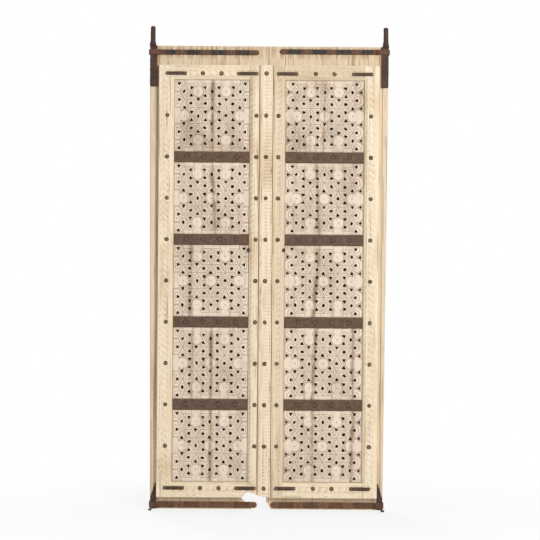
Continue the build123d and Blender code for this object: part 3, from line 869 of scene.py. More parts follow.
# %% [markdown]
# The pierced fields are the heart of these doors. Their pattern is a lattice of equilateral triangles.
# A small hole is cut at the middle of every lattice edge, and around each hole runs a carved rim in
# the shape of a long rhombus, so that six rims meet in a star at each lattice point. At every third
# point a round rosette covers the meeting. The pattern repeats strictly, but the holes were cut one by
# one by hand. So three tiles are modelled once, and Geometry Nodes put them on the lattice, turn them
# and then push each hole a little out of place, out of turn and out of size.

# %% Tiles of the pierced fields
LATTICE = 0.0695
COLUMN = LATTICE * math.sqrt(3) / 2
CORNER_REACH = LATTICE / math.sqrt(3) / 2
ROSETTE_RADIUS = 0.0240
FIELD_THICKNESS = 0.018
TRIANGLE_RADIUS = 0.0106
DIAMOND_HALF = (0.0098, 0.0077)
EDGE_HOLE_RADIUS = 0.0104

# From a tile's border, at 0, to its hole, at 1: the depth in millimetres, and how dark it is painted there,
# with dirt and painted shade
RIM = ((0.0, 3.8, 0.85), (0.13, 2.9, 0.55), (0.24, 0.2, 0.0), (0.42, 0.1, 0.0),
       (0.56, 2.8, 0.8), (0.68, 2.1, 0.4), (0.86, 0.5, 0.0), (1.0, 1.4, 0.5))
PLAIN = ((0.0, 3.0, 0.6), (0.10, 1.9, 0.3), (0.45, 1.6, 0.25), (0.75, 1.7, 0.3))
ROSETTE = ((0.0, 2.2, 0.9), (0.10, 1.2, 0.35), (0.28, 0.6, 0.15), (0.50, 1.1, 0.35),
           (0.62, 0.7, 0.2), (0.84, 0.5, 0.15), (0.93, 2.4, 1.2))
# The wall of a hole: its share of the rim's reach, its depth in metres, and how dark it is painted; past one
# it is painted black, as the shade down the hole
HOLE_WALL = ((0.96, 0.0024, 1.9), (0.94, FIELD_THICKNESS, 2.5))


def ray_to_polygon(centre, angles, corners):
    """How far a ray goes from a point inside a convex outline to its border."""
    reach = np.full(len(angles), np.inf)
    ways = np.stack([np.cos(angles), np.sin(angles)], axis=-1)
    for start, end in zip(corners, np.roll(corners, -1, axis=0)):
        normal = np.array([end[1] - start[1], start[0] - end[0]])
        across = ways @ normal
        distance = (np.asarray(start) - centre) @ normal
        with np.errstate(divide="ignore", invalid="ignore"):
            reach = np.where(across > 1e-9, np.minimum(reach, distance / across), reach)
    return reach


def ray_to_circle(centre, angles, middle, radius):
    """How far a ray goes until it meets a circle that the point is outside of."""
    toward = np.asarray(middle) - centre
    along = np.cos(angles) * toward[0] + np.sin(angles) * toward[1]
    inner = along ** 2 - (toward @ toward - radius ** 2)
    return np.where((inner > 0) & (along > 0), along - np.sqrt(np.maximum(inner, 0)), np.inf)


def circle_crossings(corners, circles):
    """The points where an outline's sides meet the circles that are cut out of it."""
    found = []
    for start, end in zip(corners, np.roll(corners, -1, axis=0)):
        for middle, radius in circles:
            side, offset = end - start, start - np.array(middle)
            a, b, c = side @ side, 2 * offset @ side, offset @ offset - radius ** 2
            if b * b - 4 * a * c > 0:
                for sign in (-1, 1):
                    way = (-b + sign * math.sqrt(b * b - 4 * a * c)) / (2 * a)
                    if 0 < way < 1:
                        found.append(start + way * side)
    return found


def tile(outline, hole=None, circles=(), profile=RIM, rays=16, middle=None):
    """One closed tile: points, faces and the marks "hollow" and "near_hole"."""
    outline = np.array(outline)
    if middle is None:
        middle = np.mean(hole if hole is not None else outline, axis=0)
    middle = np.array(middle)
    points = list(outline) + list([] if hole is None else hole) + circle_crossings(outline, circles)
    angles = [np.arctan2(*(np.array(p) - middle)[::-1]) % (2 * math.pi) for p in points]
    for a in np.linspace(0, 2 * math.pi, rays, endpoint=False) + 0.01:
        if all(abs((a - c + math.pi) % (2 * math.pi) - math.pi) > 0.45 * 2 * math.pi / rays for c in angles):
            angles.append(a)
    kept = []
    for a in sorted(angles):
        if not kept or a - kept[-1] > 0.04:
            kept.append(a)
    angles = np.array(kept)
    outer = ray_to_polygon(middle, angles, outline)
    for circle_middle, radius in circles:
        outer = np.minimum(outer, ray_to_circle(middle, angles, circle_middle, radius))
    inner = ray_to_polygon(middle, angles, np.array(hole)) if hole is not None else np.zeros(len(angles))
    rings = [(outer, FIELD_THICKNESS, 0.6, 0.0)]
    for way, depth, dirt_and_shade in profile:
        rings.append((outer + (inner - outer) * way, depth * MM, dirt_and_shade, way ** 1.5))
    if hole is not None:
        rings += [(inner * share, depth, dirt_and_shade, 1.0) for share, depth, dirt_and_shade in HOLE_WALL]
    count = len(angles)
    points = []
    hollow = []
    near = []
    for reach, depth, dirt_and_shade, close in rings:
        for a, r in zip(angles, reach):
            points.append((middle[0] + r * math.cos(a), depth, middle[1] + r * math.sin(a)))
            hollow.append(dirt_and_shade)
            near.append(close)
    faces = []
    pairs = [(n, n + 1) for n in range(len(rings) - 1)]
    if hole is not None:
        pairs.append((len(rings) - 1, 0))
    for first, second in pairs:
        for k in range(count):
            after = (k + 1) % count
            quad = ((first, k), (first, after), (second, after), (second, k))
            faces.append(tuple(ring * count + place for ring, place in quad))
    if hole is None:
        last = (len(rings) - 1) * count
        points.append((middle[0], profile[-1][1] * MM * 1.2, middle[1]))
        hollow.append(hollow[-1])
        near.append(1.0)
        faces += [(last + k, last + (k + 1) % count, len(points) - 1) for k in range(count)]
        faces.append(tuple(range(count))[::-1])
    return points, faces, hollow, near


def joined(tiles):
    """Several tiles as one list of points, faces and marks."""
    points, faces, hollow, near = [], [], [], []
    for tile_points, tile_faces, tile_hollow, tile_near in tiles:
        start = len(points)
        points += tile_points
        faces += [tuple(start + k for k in face) for face in tile_faces]
        hollow += tile_hollow
        near += tile_near
    return points, faces, hollow, near


def helper_object(name, parts):
    """A mesh that only feeds Geometry Nodes, with its marks."""
    points, faces, hollow, near = parts
    mesh = bpy.data.meshes.new(name)
    mesh.from_pydata(points, [], faces)
    set_mark(mesh, "hollow", hollow)
    set_mark(mesh, "near_hole", near)
    return new_object(name, mesh)


def rhombus():
    """The outline of a tile that lies along a lattice edge, from one lattice point to the other."""
    half = LATTICE / 2
    return [(-half, 0), (0, -CORNER_REACH), (half, 0), (0, CORNER_REACH)]


def blunted(corners, cut=0.2):
    """The same hole with its corners taken off, as a chisel leaves them."""
    corners = np.array(corners)
    points = []
    for before, corner, after in zip(np.roll(corners, 1, axis=0), corners, np.roll(corners, -1, axis=0)):
        points.append(tuple(corner + (before - corner) * cut))
        points.append(tuple(corner + (after - corner) * cut))
    return points


def triangle_hole(radius, turn=0.0):
    angles = [turn + corner * 2 * math.pi / 3 for corner in range(3)]
    return blunted([(radius * math.cos(a), radius * math.sin(a)) for a in angles], 0.13)


def diamond_hole():
    length, width = DIAMOND_HALF
    return blunted([(length, 0), (0, width), (-length, 0), (0, -width)])


def circle_outline(radius, sides):
    angles = np.linspace(0, 2 * math.pi, sides, endpoint=False)
    return [(radius * math.cos(a), radius * math.sin(a)) for a in angles]


by_rosette = [((-LATTICE / 2, 0), ROSETTE_RADIUS)]
disc = circle_outline(ROSETTE_RADIUS, 36)
TILES = {
    "Star tile": helper_object("star_tile", tile(rhombus(), diamond_hole())),
    "Petal tile": helper_object("petal_tile", tile(rhombus(), triangle_hole(TRIANGLE_RADIUS), by_rosette)),
    "Rosette tile": helper_object("rosette_tile", tile(disc, None, (), ROSETTE, 36, (0, 0)))}
for label, helper in TILES.items():
    print(label, "faces", len(helper.data.polygons))


# %% [markdown]
# Along the sides of a field the lattice is cut off, and each leaf is filled up in its own way: the left
# one with one column of small edge holes, the wider right one with a second, cut-off column outside
# it. These border tiles are few and all different, so they are listed by their corners for the right
# half of a field and mirrored.

# %% Border of a field
FIELD_HALF_HEIGHT = 0.155
# Plain border tiles reach a little under the rosettes beside them
TUCKED_RADIUS = 0.0212


def mirrored(outline, side):
    """An outline on one side of the field, kept in order against the clock."""
    if side > 0:
        return outline
    return [(-x, z) for x, z in outline][::-1]


def upended(outline, side):
    if side > 0:
        return outline
    return [(x, -z) for x, z in outline][::-1]


def pointing(middle, turn, radius):
    return [(middle[0] + x, middle[1] + z) for x, z in triangle_hole(radius, turn)]


def border_tiles(half_width, edge_inset, half_inset, high, low):
    """The tiles between the lattice and the sides, the head and the foot of one field."""
    last = 2 * COLUMN
    corner = last + CORNER_REACH
    beside = last - 2 * CORNER_REACH
    slant = (half_width - corner) / math.sqrt(3)
    cut = slant if half_inset else 0.0
    row = LATTICE / 2
    head = FIELD_HALF_HEIGHT
    tiles = []

    def plain(outline, circles=(), rays=12, middle=None):
        tiles.append(tile(outline, None, circles, PLAIN, rays, middle))

    for side in (1, -1):
        inward = math.pi if side > 0 else 0.0
        for step in (-1, 0, 1):
            z = step * LATTICE
            outline = mirrored([(last, z), (corner, z - row), (half_width, z - row + cut),
                                (half_width, z + row - cut), (corner, z + row)], side)
            if step:
                middle = (side * (half_width - edge_inset), z)
                tiles.append(tile(outline, pointing(middle, inward, EDGE_HOLE_RADIUS)))
            else:
                plain(outline, [((side * last, 0), TUCKED_RADIUS)], 20, (side * (half_width - 0.006), 0))
        if half_inset:
            for z in (-3 * row, -row, row, 3 * row):
                outline = mirrored([(corner, z), (half_width, z - slant), (half_width, z + slant)], side)
                middle = (side * (half_width - half_inset), z)
                tiles.append(tile(outline, pointing(middle, inward, EDGE_HOLE_RADIUS * 0.85), rays=12))
        for up in (1, -1):
            outline = [(last, head), (last, 4 * row), (corner, 3 * row), (half_width, 3 * row + cut),
                       (half_width, head)]
            outline = upended(mirrored(outline, side), up)
            middle = (side * (half_width - edge_inset), up * 4 * row)
            tiles.append(tile(outline, pointing(middle, -up * math.pi / 2, EDGE_HOLE_RADIUS)))
            strip = [(beside, 4 * row), (last, 4 * row), (last, head), (beside, head)]
            plain(upended(mirrored(strip, side), up))
            gable = [(CORNER_REACH * 2, head), (CORNER_REACH * 2, 4 * row), (COLUMN, 3 * row),
                     (beside, 4 * row), (beside, head)]
            rosette = [((side * COLUMN, up * 3 * row), TUCKED_RADIUS)]
            plain(upended(mirrored(gable, side), up), rosette, 20, (side * COLUMN, up * (head - 0.0195)))
    for up in (1, -1):
        strip = [(-CORNER_REACH * 2, 4 * row), (CORNER_REACH * 2, 4 * row),
                 (CORNER_REACH * 2, head), (-CORNER_REACH * 2, head)]
        plain(upended(strip, up))
        end = high if up > 0 else -low
        if end > head + 0.002:
            flat = [(-half_width, head), (half_width, head), (half_width, end), (-half_width, end)]
            plain(upended(flat, up), rays=24)
    return joined(tiles)


# %% [markdown]
# The tree below takes the lattice as loose points, each with a turn and a kind, and the three tiles as
# objects. It sets the tiles, gives each one its own chance numbers from a fixed seed, makes everything
# real geometry, and then moves only what the mark "near_hole" allows: the hole's rim and wall. A last
# soft wave runs through the whole face, as wood that has dried and cupped.

# %% A short way to write Geometry Nodes
def plain_mesh(made, name):
    """The evaluated result as a plain mesh, with the modifiers gone."""
    depsgraph = bpy.context.evaluated_depsgraph_get()
    depsgraph.update()
    mesh = bpy.data.meshes.new_from_object(
        made.evaluated_get(depsgraph), preserve_all_data_layers=True, depsgraph=depsgraph)
    made.modifiers.clear()
    made.data = mesh
    made.name = name
    mesh.name = name
    return made


class Tree:
    """A Geometry Nodes tree in the making, with named inputs."""

    def __init__(self, name, inputs):
        self.tree = bpy.data.node_groups.new(name, "GeometryNodeTree")
        sockets = self.tree.interface
        sockets.new_socket("Geometry", in_out="INPUT", socket_type="NodeSocketGeometry")
        for label, kind in inputs.items():
            sockets.new_socket(label, in_out="INPUT", socket_type=f"NodeSocket{kind}")
        sockets.new_socket("Geometry", in_out="OUTPUT", socket_type="NodeSocketGeometry")
        self.given = self.tree.nodes.new("NodeGroupInput").outputs
        self.result = self.tree.nodes.new("NodeGroupOutput").inputs["Geometry"]

    def run(self, name, mesh, values):
        """Runs a mesh through the tree. The inputs are set by identifier, before it is evaluated."""
        made = new_object(name, mesh)
        modifier = made.modifiers.new("tree", "NODES")
        modifier.node_group = self.tree
        for item in self.tree.interface.items_tree:
            if item.item_type == "SOCKET" and item.in_out == "INPUT" and item.name in values:
                modifier[item.identifier] = values[item.name]
        return plain_mesh(made, name)

    def add(self, kind, inputs=None, **settings):
        node = self.tree.nodes.new(kind)
        for name, value in settings.items():
            setattr(node, name, value)
        for key, value in (inputs or {}).items():
            if isinstance(value, bpy.types.NodeSocket):
                self.tree.links.new(value, node.inputs[key])
            else:
                node.inputs[key].default_value = value
        return node

    def join(self, *parts):
        """Several geometries as one."""
        node = self.add("GeometryNodeJoinGeometry")
        for part in parts:
            self.tree.links.new(part, node.inputs["Geometry"])
        return node.outputs["Geometry"]

    def value(self, operation, first, second):
        """One step of arithmetic on numbers."""
        return self.add("ShaderNodeMath", {0: first, 1: second}, operation=operation).outputs[0]

    def vector(self, operation, first, second):
        """One step of arithmetic on vectors."""
        return self.add("ShaderNodeVectorMath", {0: first, 1: second}, operation=operation).outputs[0]

    def scaled(self, vector, factor):
        return self.add("ShaderNodeVectorMath", {0: vector, "Scale": factor}, operation="SCALE").outputs[0]

    def noise(self, scale, detail):
        """Noise that is another one for each seed."""
        inputs = {"Scale": scale, "Detail": detail, "W": self.given["Seed"]}
        return self.add("ShaderNodeTexNoise", inputs, noise_dimensions="4D").outputs

    def chance(self, low, high, kind="FLOAT"):
        """A random value for each instance or point."""
        first, second, result = {"FLOAT": (2, 3, 1), "FLOAT_VECTOR": (0, 1, 0)}[kind]
        inputs = {first: low, second: high, "Seed": self.given["Seed"]}
        return self.add("FunctionNodeRandomValue", inputs, data_type=kind).outputs[result]

    def keep(self, geometry, name, kind, value):
        """Stores a named value on each instance."""
        inputs = {"Geometry": geometry, "Name": name, "Value": value}
        node = self.add("GeometryNodeStoreNamedAttribute", inputs, data_type=kind, domain="INSTANCE")
        return node.outputs["Geometry"]

    def read(self, name, kind="FLOAT"):
        node = self.add("GeometryNodeInputNamedAttribute", {"Name": name}, data_type=kind)
        return node.outputs["Attribute"]

    def finish(self, geometry, material):
        """Gives everything its material and sends it to the tree's output."""
        node = self.add("GeometryNodeSetMaterial", {"Geometry": geometry, "Material": material})
        self.tree.links.new(node.outputs["Geometry"], self.result)


# %% The tree of one field
CHIP_SCALE = 240.0
CHIP_SIZE = 0.007
# Points less deep than this belong to the face, which the wave may move
FACE_REACH = 0.004

pierced_field = Tree("pierced_field", {
    "Star tile": "Object", "Petal tile": "Object", "Rosette tile": "Object", "Border": "Object",
    "Seed": "Int", "Drift": "Float", "Slant": "Float", "Wave depth": "Float", "Wood": "Material"})
t = pierced_field
turn = t.add("ShaderNodeCombineXYZ", {"Y": t.read("turn")}).outputs[0]
placed = []
for number, label in enumerate(TILES):
    source = t.add("GeometryNodeObjectInfo", {"Object": t.given[label], "As Instance": True})
    chosen = t.add("FunctionNodeCompare", {0: t.read("kind"), 1: float(number), "Epsilon": 0.1},
                   data_type="FLOAT", operation="EQUAL")
    placed.append(t.add("GeometryNodeInstanceOnPoints", {
        "Points": t.given["Geometry"], "Selection": chosen.outputs["Result"],
        "Instance": source.outputs["Geometry"], "Rotation": turn}).outputs["Instances"])
here = t.add("GeometryNodeInputPosition").outputs[0]
geometry = t.keep(t.join(*placed), "middle", "FLOAT_VECTOR", here)
geometry = t.keep(geometry, "drift", "FLOAT_VECTOR", t.chance((-1, -1, -1), (1, 1, 1), "FLOAT_VECTOR"))
geometry = t.keep(geometry, "slant", "FLOAT", t.chance(-1.0, 1.0))
real = t.add("GeometryNodeRealizeInstances", {"Geometry": geometry}).outputs["Geometry"]
turned = t.add("ShaderNodeVectorRotate", {
    "Vector": here, "Center": t.read("middle", "FLOAT_VECTOR"), "Axis": (0, 1, 0),
    "Angle": t.value("MULTIPLY", t.read("slant"), t.given["Slant"])}, rotation_type="AXIS_ANGLE").outputs[0]
aside = t.scaled(t.vector("MULTIPLY", t.read("drift", "FLOAT_VECTOR"), (1, 0, 1)), t.given["Drift"])
chips = t.add("ShaderNodeTexNoise", {"Scale": CHIP_SCALE, "Detail": 1.0}).outputs["Color"]
uneven = t.vector("MULTIPLY", t.vector("SUBTRACT", chips, (0.5, 0.5, 0.5)), (CHIP_SIZE, 0.0, CHIP_SIZE))
goal = t.vector("ADD", turned, t.vector("ADD", aside, uneven))
moved = t.add("ShaderNodeMix", {"Factor": t.read("near_hole"), 4: here, 5: goal},
              data_type="VECTOR").outputs[1]
shaken = t.add("GeometryNodeSetPosition", {"Geometry": real, "Position": moved}).outputs["Geometry"]
border = t.add("GeometryNodeObjectInfo", {"Object": t.given["Border"]}).outputs["Geometry"]
wave = t.value("ADD", t.noise(90.0, 2.0)["Fac"], t.noise(9.0, 1.0)["Fac"])
push = t.value("MULTIPLY", wave, t.given["Wave depth"])
in_front = t.add("FunctionNodeCompare", {
    0: t.add("ShaderNodeSeparateXYZ", {0: here}).outputs["Y"], 1: FACE_REACH},
    data_type="FLOAT", operation="LESS_THAN").outputs["Result"]
waved = t.add("GeometryNodeSetPosition", {
    "Geometry": t.join(shaken, border), "Selection": in_front,
    "Offset": t.add("ShaderNodeCombineXYZ", {"Y": push}).outputs[0]}).outputs["Geometry"]
t.finish(waved, t.given["Wood"])
print("tree", t.tree.name, "nodes", len(t.tree.nodes))


# %% [markdown]
# In the real doors each field is joined from two or three narrower boards. Here it is one piece, so
# its wood shows them: each field has its own seed, its own shade, and dark lines where its boards meet
# or have split, at the places where the photograph shows them.

# %% Wood of the fields
FIELD_COLOURS = (srgb(233, 218, 199), srgb(220, 202, 182), srgb(188, 166, 142), srgb(150, 124, 100))
FIELD_GREY = srgb(178, 166, 148)
JOINT_TAN = srgb(176, 138, 100)
JOINT_BROWN = srgb(104, 74, 48)
JOINT_DEPTH = 0.0012

# For each leaf and field, the joints: place across at the middle of the field, lean, and strength
JOINTS = {
    ("left", 1): [(-0.243, 0.0, 0.9)], ("left", 2): [(-0.236, -0.05, 0.8)],
    ("left", 3): [(-0.332, 0.01, 0.6)],
    ("left", 4): [(-0.243, 0.0, 0.9), (-0.324, 0.02, 0.5)], ("left", 5): [(-0.243, 0.0, 0.8)],
    ("right", 1): [(0.238, 0.02, 0.7)], ("right", 2): [(0.214, -0.04, 0.7)],
    ("right", 3): [(0.210, 0.08, 0.8)],
    ("right", 4): [(0.202, 0.06, 0.8), (0.368, 0.0, 0.7)],
    ("right", 5): [(0.196, 0.0, 0.6), (0.368, 0.03, 0.8)]}


def field_wood(leaf, number, middle_z):
    """One field's own wood: grey clouds, and a stain and a dark line at each joint of its boards."""
    shift = 30.0 + 3.7 * number + (20.0 if leaf == "right" else 0.0)
    wood = weathered_wood(f"{leaf}_field_{number}_wood", GRAIN_UP, FIELD_COLOURS, 0.62, shift, 0.45)
    x, _, z = wood.axes()
    clouds = wood.noise((11.0, 11.0, 7.0), 4.0, 0.6, shift + 17.0)
    wood.layer(wood.between(clouds, 0.54, 0.72, 0.5), FIELD_GREY)
    wander = wood.noise((25.0, 25.0, 14.0), 4.0, 0.6, shift + 2.0)
    blots = wood.between(wander, 0.38, 0.62)
    for place, lean, strength in JOINTS[leaf, number]:
        offset = wood.minus(wood.minus(x, place), wood.times(wood.minus(z, middle_z), lean))
        away = wood.away(wood.plus(offset, wood.times(wood.minus(wander, 0.5), 0.012)))
        stain = wood.between(wood.minus(wood.times(wander, 0.020), away), -0.004, 0.009)
        wood.layer(wood.times(stain, 0.5 * strength), JOINT_TAN)
        wood.layer(wood.times(stain, blots, 0.55 * strength), JOINT_BROWN)
        line = wood.minus(1.0, wood.between(away, 0.0004, 0.0018))
        wood.layer(wood.times(line, 0.55 * strength), JOINT_BROWN)
        wood.raise_by(line, -JOINT_DEPTH * strength)
    return wood.made()


# %% Set the ten fields
FIELD_PITCH = 0.356
FIELD_SHAKE = 0.0016
FIELD_SLANT = 0.20
FIELD_WAVE = 0.0005
EDGE_INSET = {"left": 0.0205, "right": 0.032}
HALF_INSET = {"left": 0.0, "right": 0.013}
FIELD_SHARP_EDGE = 50.0


def lattice():
    """Every lattice point and every edge of one field, as place, turn and kind of tile."""
    points = []
    for i in range(-2, 3):
        for j in range(-2, 3):
            z = LATTICE * (j + i % 2 / 2)
            if abs(z) < 2.1 * LATTICE:
                points.append((i * COLUMN, z, (j - i // 2 - i) % 3 == 0))
    places = [(x, z, 0.0, 2) for x, z, rosette in points if rosette]
    for number, (x0, z0, rosette0) in enumerate(points):
        for x1, z1, rosette1 in points[number + 1:]:
            if abs(math.hypot(x1 - x0, z1 - z0) - LATTICE) < LATTICE / 10:
                turn = math.atan2(z1 - z0, x1 - x0) + (math.pi if rosette1 else 0.0)
                places.append(((x0 + x1) / 2, (z0 + z1) / 2, -turn, 1 if rosette0 or rosette1 else 0))
    return places


def field(leaf, number):
    """One pierced field, set out on its lattice and moved to its solid's place."""
    node = f"{leaf}_jali_panel_{number}"
    low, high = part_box(node)
    x0, x1, _, _ = OPENINGS[leaf]
    middle_z = OPENING_HEAD_Z - FIELD_HALF_HEIGHT - (number - 1) * FIELD_PITCH
    places = lattice()
    mesh = bpy.data.meshes.new("lattice")
    mesh.from_pydata([(x, 0, z) for x, z, _, _ in places], [], [])
    set_mark(mesh, "turn", [turn for _, _, turn, _ in places])
    set_mark(mesh, "kind", [kind for _, _, _, kind in places])
    border = border_tiles((x1 - x0) / 2, EDGE_INSET[leaf], HALF_INSET[leaf],
                          high[2] - middle_z, low[2] - middle_z)
    edge = helper_object("border", border)
    made = pierced_field.run(f"{node}_carved", mesh, {
        **TILES, "Border": edge, "Seed": 100 + number + (50 if leaf == "right" else 0),
        "Drift": FIELD_SHAKE, "Slant": FIELD_SLANT, "Wave depth": FIELD_WAVE,
        "Wood": field_wood(leaf, number, middle_z)})
    points = points_of(made.data) + ((x0 + x1) / 2, low[1], middle_z)
    points[:, 1] = np.minimum(points[:, 1], high[1])
    set_points(made.data, points)
    made.data.shade_smooth()
    made.data.set_sharp_from_angle(angle=math.radians(FIELD_SHARP_EDGE))
    bpy.data.objects.remove(edge)
    hand_over(made, f"{leaf}_leaf", [node])
    return len(made.data.polygons)


for leaf in LEAVES:
    print(leaf, "fields, faces:", [field(leaf, number) for number in range(1, 6)])
for helper in TILES.values():
    bpy.data.objects.remove(helper)


# %% [markdown]
# The iron is hand forged and has rusted for a long time. Its base is dark, with lighter scale on it,
# brown rust, nearly black dirt in its hollows and pale dust. Rust starts at nails and edges, so each
# mesh carries a mark "rust" that says how near they are, and the pattern of noise breaks that up.

# %% Old iron
IRON_ROUGHNESS = 0.62
IRON_DIRT = srgb(40, 27, 20)
PALE_DUST = srgb(178, 160, 138)
FLAKE_HEIGHT = 0.0012
PIT_DEPTH = 0.0006
# For each iron: the colours of its base, its scale and its rust, and where its noise starts
IRONS = {
    "cross_strap": ((84, 63, 50), (110, 86, 69), (96, 68, 42), 3.0),
    "top_strap": ((40, 34, 31), (66, 56, 49), (98, 64, 46), 7.0),
    "bottom_strap": ((72, 48, 34), (104, 76, 56), (122, 84, 56), 9.0),
    "pivot": ((50, 34, 27), (78, 58, 47), (92, 58, 40), 11.0),
    # The studs' rust colour is darker than their base and darkens each head toward its rim: partly rust,
    # partly painted shade on the dome
    "stud": ((98, 79, 61), (132, 112, 90), (66, 47, 34), 17.0),
    "corner_plate": ((66, 48, 37), (86, 66, 52), (80, 54, 38), 23.0)}


def old_iron(name, base, scale, rust, shift):
    """Forged iron: a dark base, lighter scale, brown rust by the mark "rust" and pale dust."""
    iron = Finish(name, IRON_ROUGHNESS, 0.15)
    iron.shader.inputs["Specular IOR Level"].default_value = 0.35
    flakes = iron.noise((55.0, 55.0, 55.0), 5.0, 0.65, shift)
    pits = iron.noise((330.0, 330.0, 330.0), 4.0, 0.7, shift + 5.0)
    patches = iron.noise((16.0, 16.0, 22.0), 4.0, 0.6, shift + 9.0)
    dust = iron.noise((700.0, 700.0, 700.0), 2.0, 0.6, shift + 13.0)
    iron.layer(1.0, base)
    iron.layer(iron.between(flakes, 0.42, 0.68, 0.75), scale)
    amount = iron.plus(iron.mark("rust"), iron.times(patches, 0.75))
    iron.layer(iron.between(amount, 0.52, 1.0, 0.85), rust)
    iron.layer(iron.between(pits, 0.58, 0.74, 0.5), base)
    iron.layer(iron.times(iron.mark("hollow"), 0.85), IRON_DIRT)
    iron.layer(iron.between(dust, 0.66, 0.74, 0.55), PALE_DUST)
    rough = iron.times(iron.between(pits, 0.3, 0.8), 0.25)
    iron.feed(iron.shader.inputs["Roughness"], iron.plus(rough, IRON_ROUGHNESS - 0.04))
    iron.raise_by(flakes, FLAKE_HEIGHT)
    iron.raise_by(pits, PIT_DEPTH)
    return iron.made()


irons = {}
for name, (base, scale, rust, shift) in IRONS.items():
    irons[name] = old_iron(f"{name}_iron", srgb(*base), srgb(*scale), srgb(*rust), shift)
print("irons", list(irons))


# %% [markdown]
# The four flat straps across each opening are plain bars, so a grid slab does for them too. Their
# edges are hammered thin and wavy, their corners are worn, and round each rivet the hammer left a
# shallow ring. The edges rust first, and dirt keeps the rings dark.

# %% Cross straps
CROSS_EDGE = 0.004
RIVET_RING = 0.0096
RING_HALF = 0.0022
RING_DEPTH = 0.0006
RUSTY_EDGE = 0.009


def cross_strap(leaf, number):
    """One flat bar with thin wavy edges and a ring round each rivet."""
    name = f"{leaf}_cross_strap_{number}"
    low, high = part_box(name)
    seed = 200 + number + (10 if leaf == "right" else 0)
    x_lines = lines_between(low[0], high[0], 0.0024, [low[0] + 0.001, high[0] - 0.001])
    z_lines = lines_between(low[2], high[2], 0.0022, [low[2] + 0.001, high[2] - 0.001])
    x, z = np.meshgrid(x_lines, z_lines)
    place = (z - low[2]) / (high[2] - low[2])
    edge_wave = 0.0003 + 0.0011 * ripple(x, x * 0, 0.07, seed) + 0.0005 * ripple(x, x * 0, 0.02, seed + 2)
    z_moved = z + edge_wave * (np.clip((place - 0.5) * 2, 0, 1) - np.clip((0.5 - place) * 2, 0, 1))
    to_edge = np.minimum(z - low[2], high[2] - z)
    depth = 0.0012 * np.clip(1 - to_edge / CROSS_EDGE, 0, 1) ** 2
    depth += 0.0003 * (1 + ripple(x, z, 0.05, seed + 3)) + 0.00025 * (1 + ripple(x, z, 0.015, seed + 4))
    rust = np.clip(1 - to_edge / RUSTY_EDGE, 0, 1) * 0.8
    hollow = 0.35 * np.clip(1 - to_edge / 0.002, 0, 1)
    for px, _, pz in head_places(f"{leaf}_strap_rivets", 0.008):
        ring = np.exp(-((np.hypot(x - px, z - pz) - RIVET_RING) / RING_HALF) ** 2)
        depth += RING_DEPTH * ring
        hollow = np.maximum(hollow, ring * (0.75 + 0.25 * np.sin(np.arctan2(z - pz, x - px) * 2 + number)))
    points, faces = slab(x, z_moved, low[1] + depth, high[1])
    marks = {"rust": np.full(len(points), 0.5), "hollow": np.full(len(points), 0.5)}
    marks["rust"][:x.size] = rust.ravel()
    marks["hollow"][:x.size] = hollow.ravel()
    body = f"{leaf}_leaf"
    piece_from(f"{name}_forged", points, faces, irons["cross_strap"], body, [name], marks)
    return len(faces)


for leaf in LEAVES:
    print(leaf, "cross straps, faces:", [cross_strap(leaf, number) for number in range(1, 5)])


# %% [markdown]
# The wrapped straps, pivots and corner plates have more complicated outlines, which the solids already
# give exactly. So each is copied from its solid, its loose triangles are joined, and a voxel remesh
# turns it into an even skin that can be smoothed and dented like hammered iron. The nails' places,
# taken from the solids as well, say where the rust begins.

# %% Hammered copies of the forged solids
NAIL_RUST = 0.030
WELD_REACH = 0.00002
PIVOT_X = 0.503
PIVOT_Y = -0.00575
# Where the strap goes round the post, and rusts as it does at a nail
WRAP_X = (0.515, 0.495, 0.475)
# For each forged piece: its iron, its finish, the remesh's grid, the dents, the rust and the swelling
FORGED = {
    "top_strap": ("top_strap", "forged_iron", 0.0016, 0.00035, 0.0, 0.0),
    "bottom_strap": ("bottom_strap", "forged_iron", 0.0018, 0.00045, 0.3, 0.0),
    "top_pivot": ("pivot", "forged_iron", 0.0018, 0.0005, 0.25, 0.0),
    "bottom_pivot": ("pivot", "forged_iron", 0.0018, 0.0006, 0.3, 0.0),
    "corner_plates": ("corner_plate", "stud_iron", 0.0011, 0.00025, 0.2, 0.0009)}


def flared_pin(points):
    """The pin above the strap, thicker toward its foot."""
    middle = np.array([math.copysign(PIVOT_X, points[0, 0]), PIVOT_Y])
    growth = 1 + 0.16 * np.clip((points[:, 2] - 2.000) / 0.010, 0, 1)
    growth += 0.10 * np.clip((2.060 - points[:, 2]) / 0.045, 0, 1) * (points[:, 2] > 2.012)
    points[:, :2] = middle + (points[:, :2] - middle) * growth[:, None]


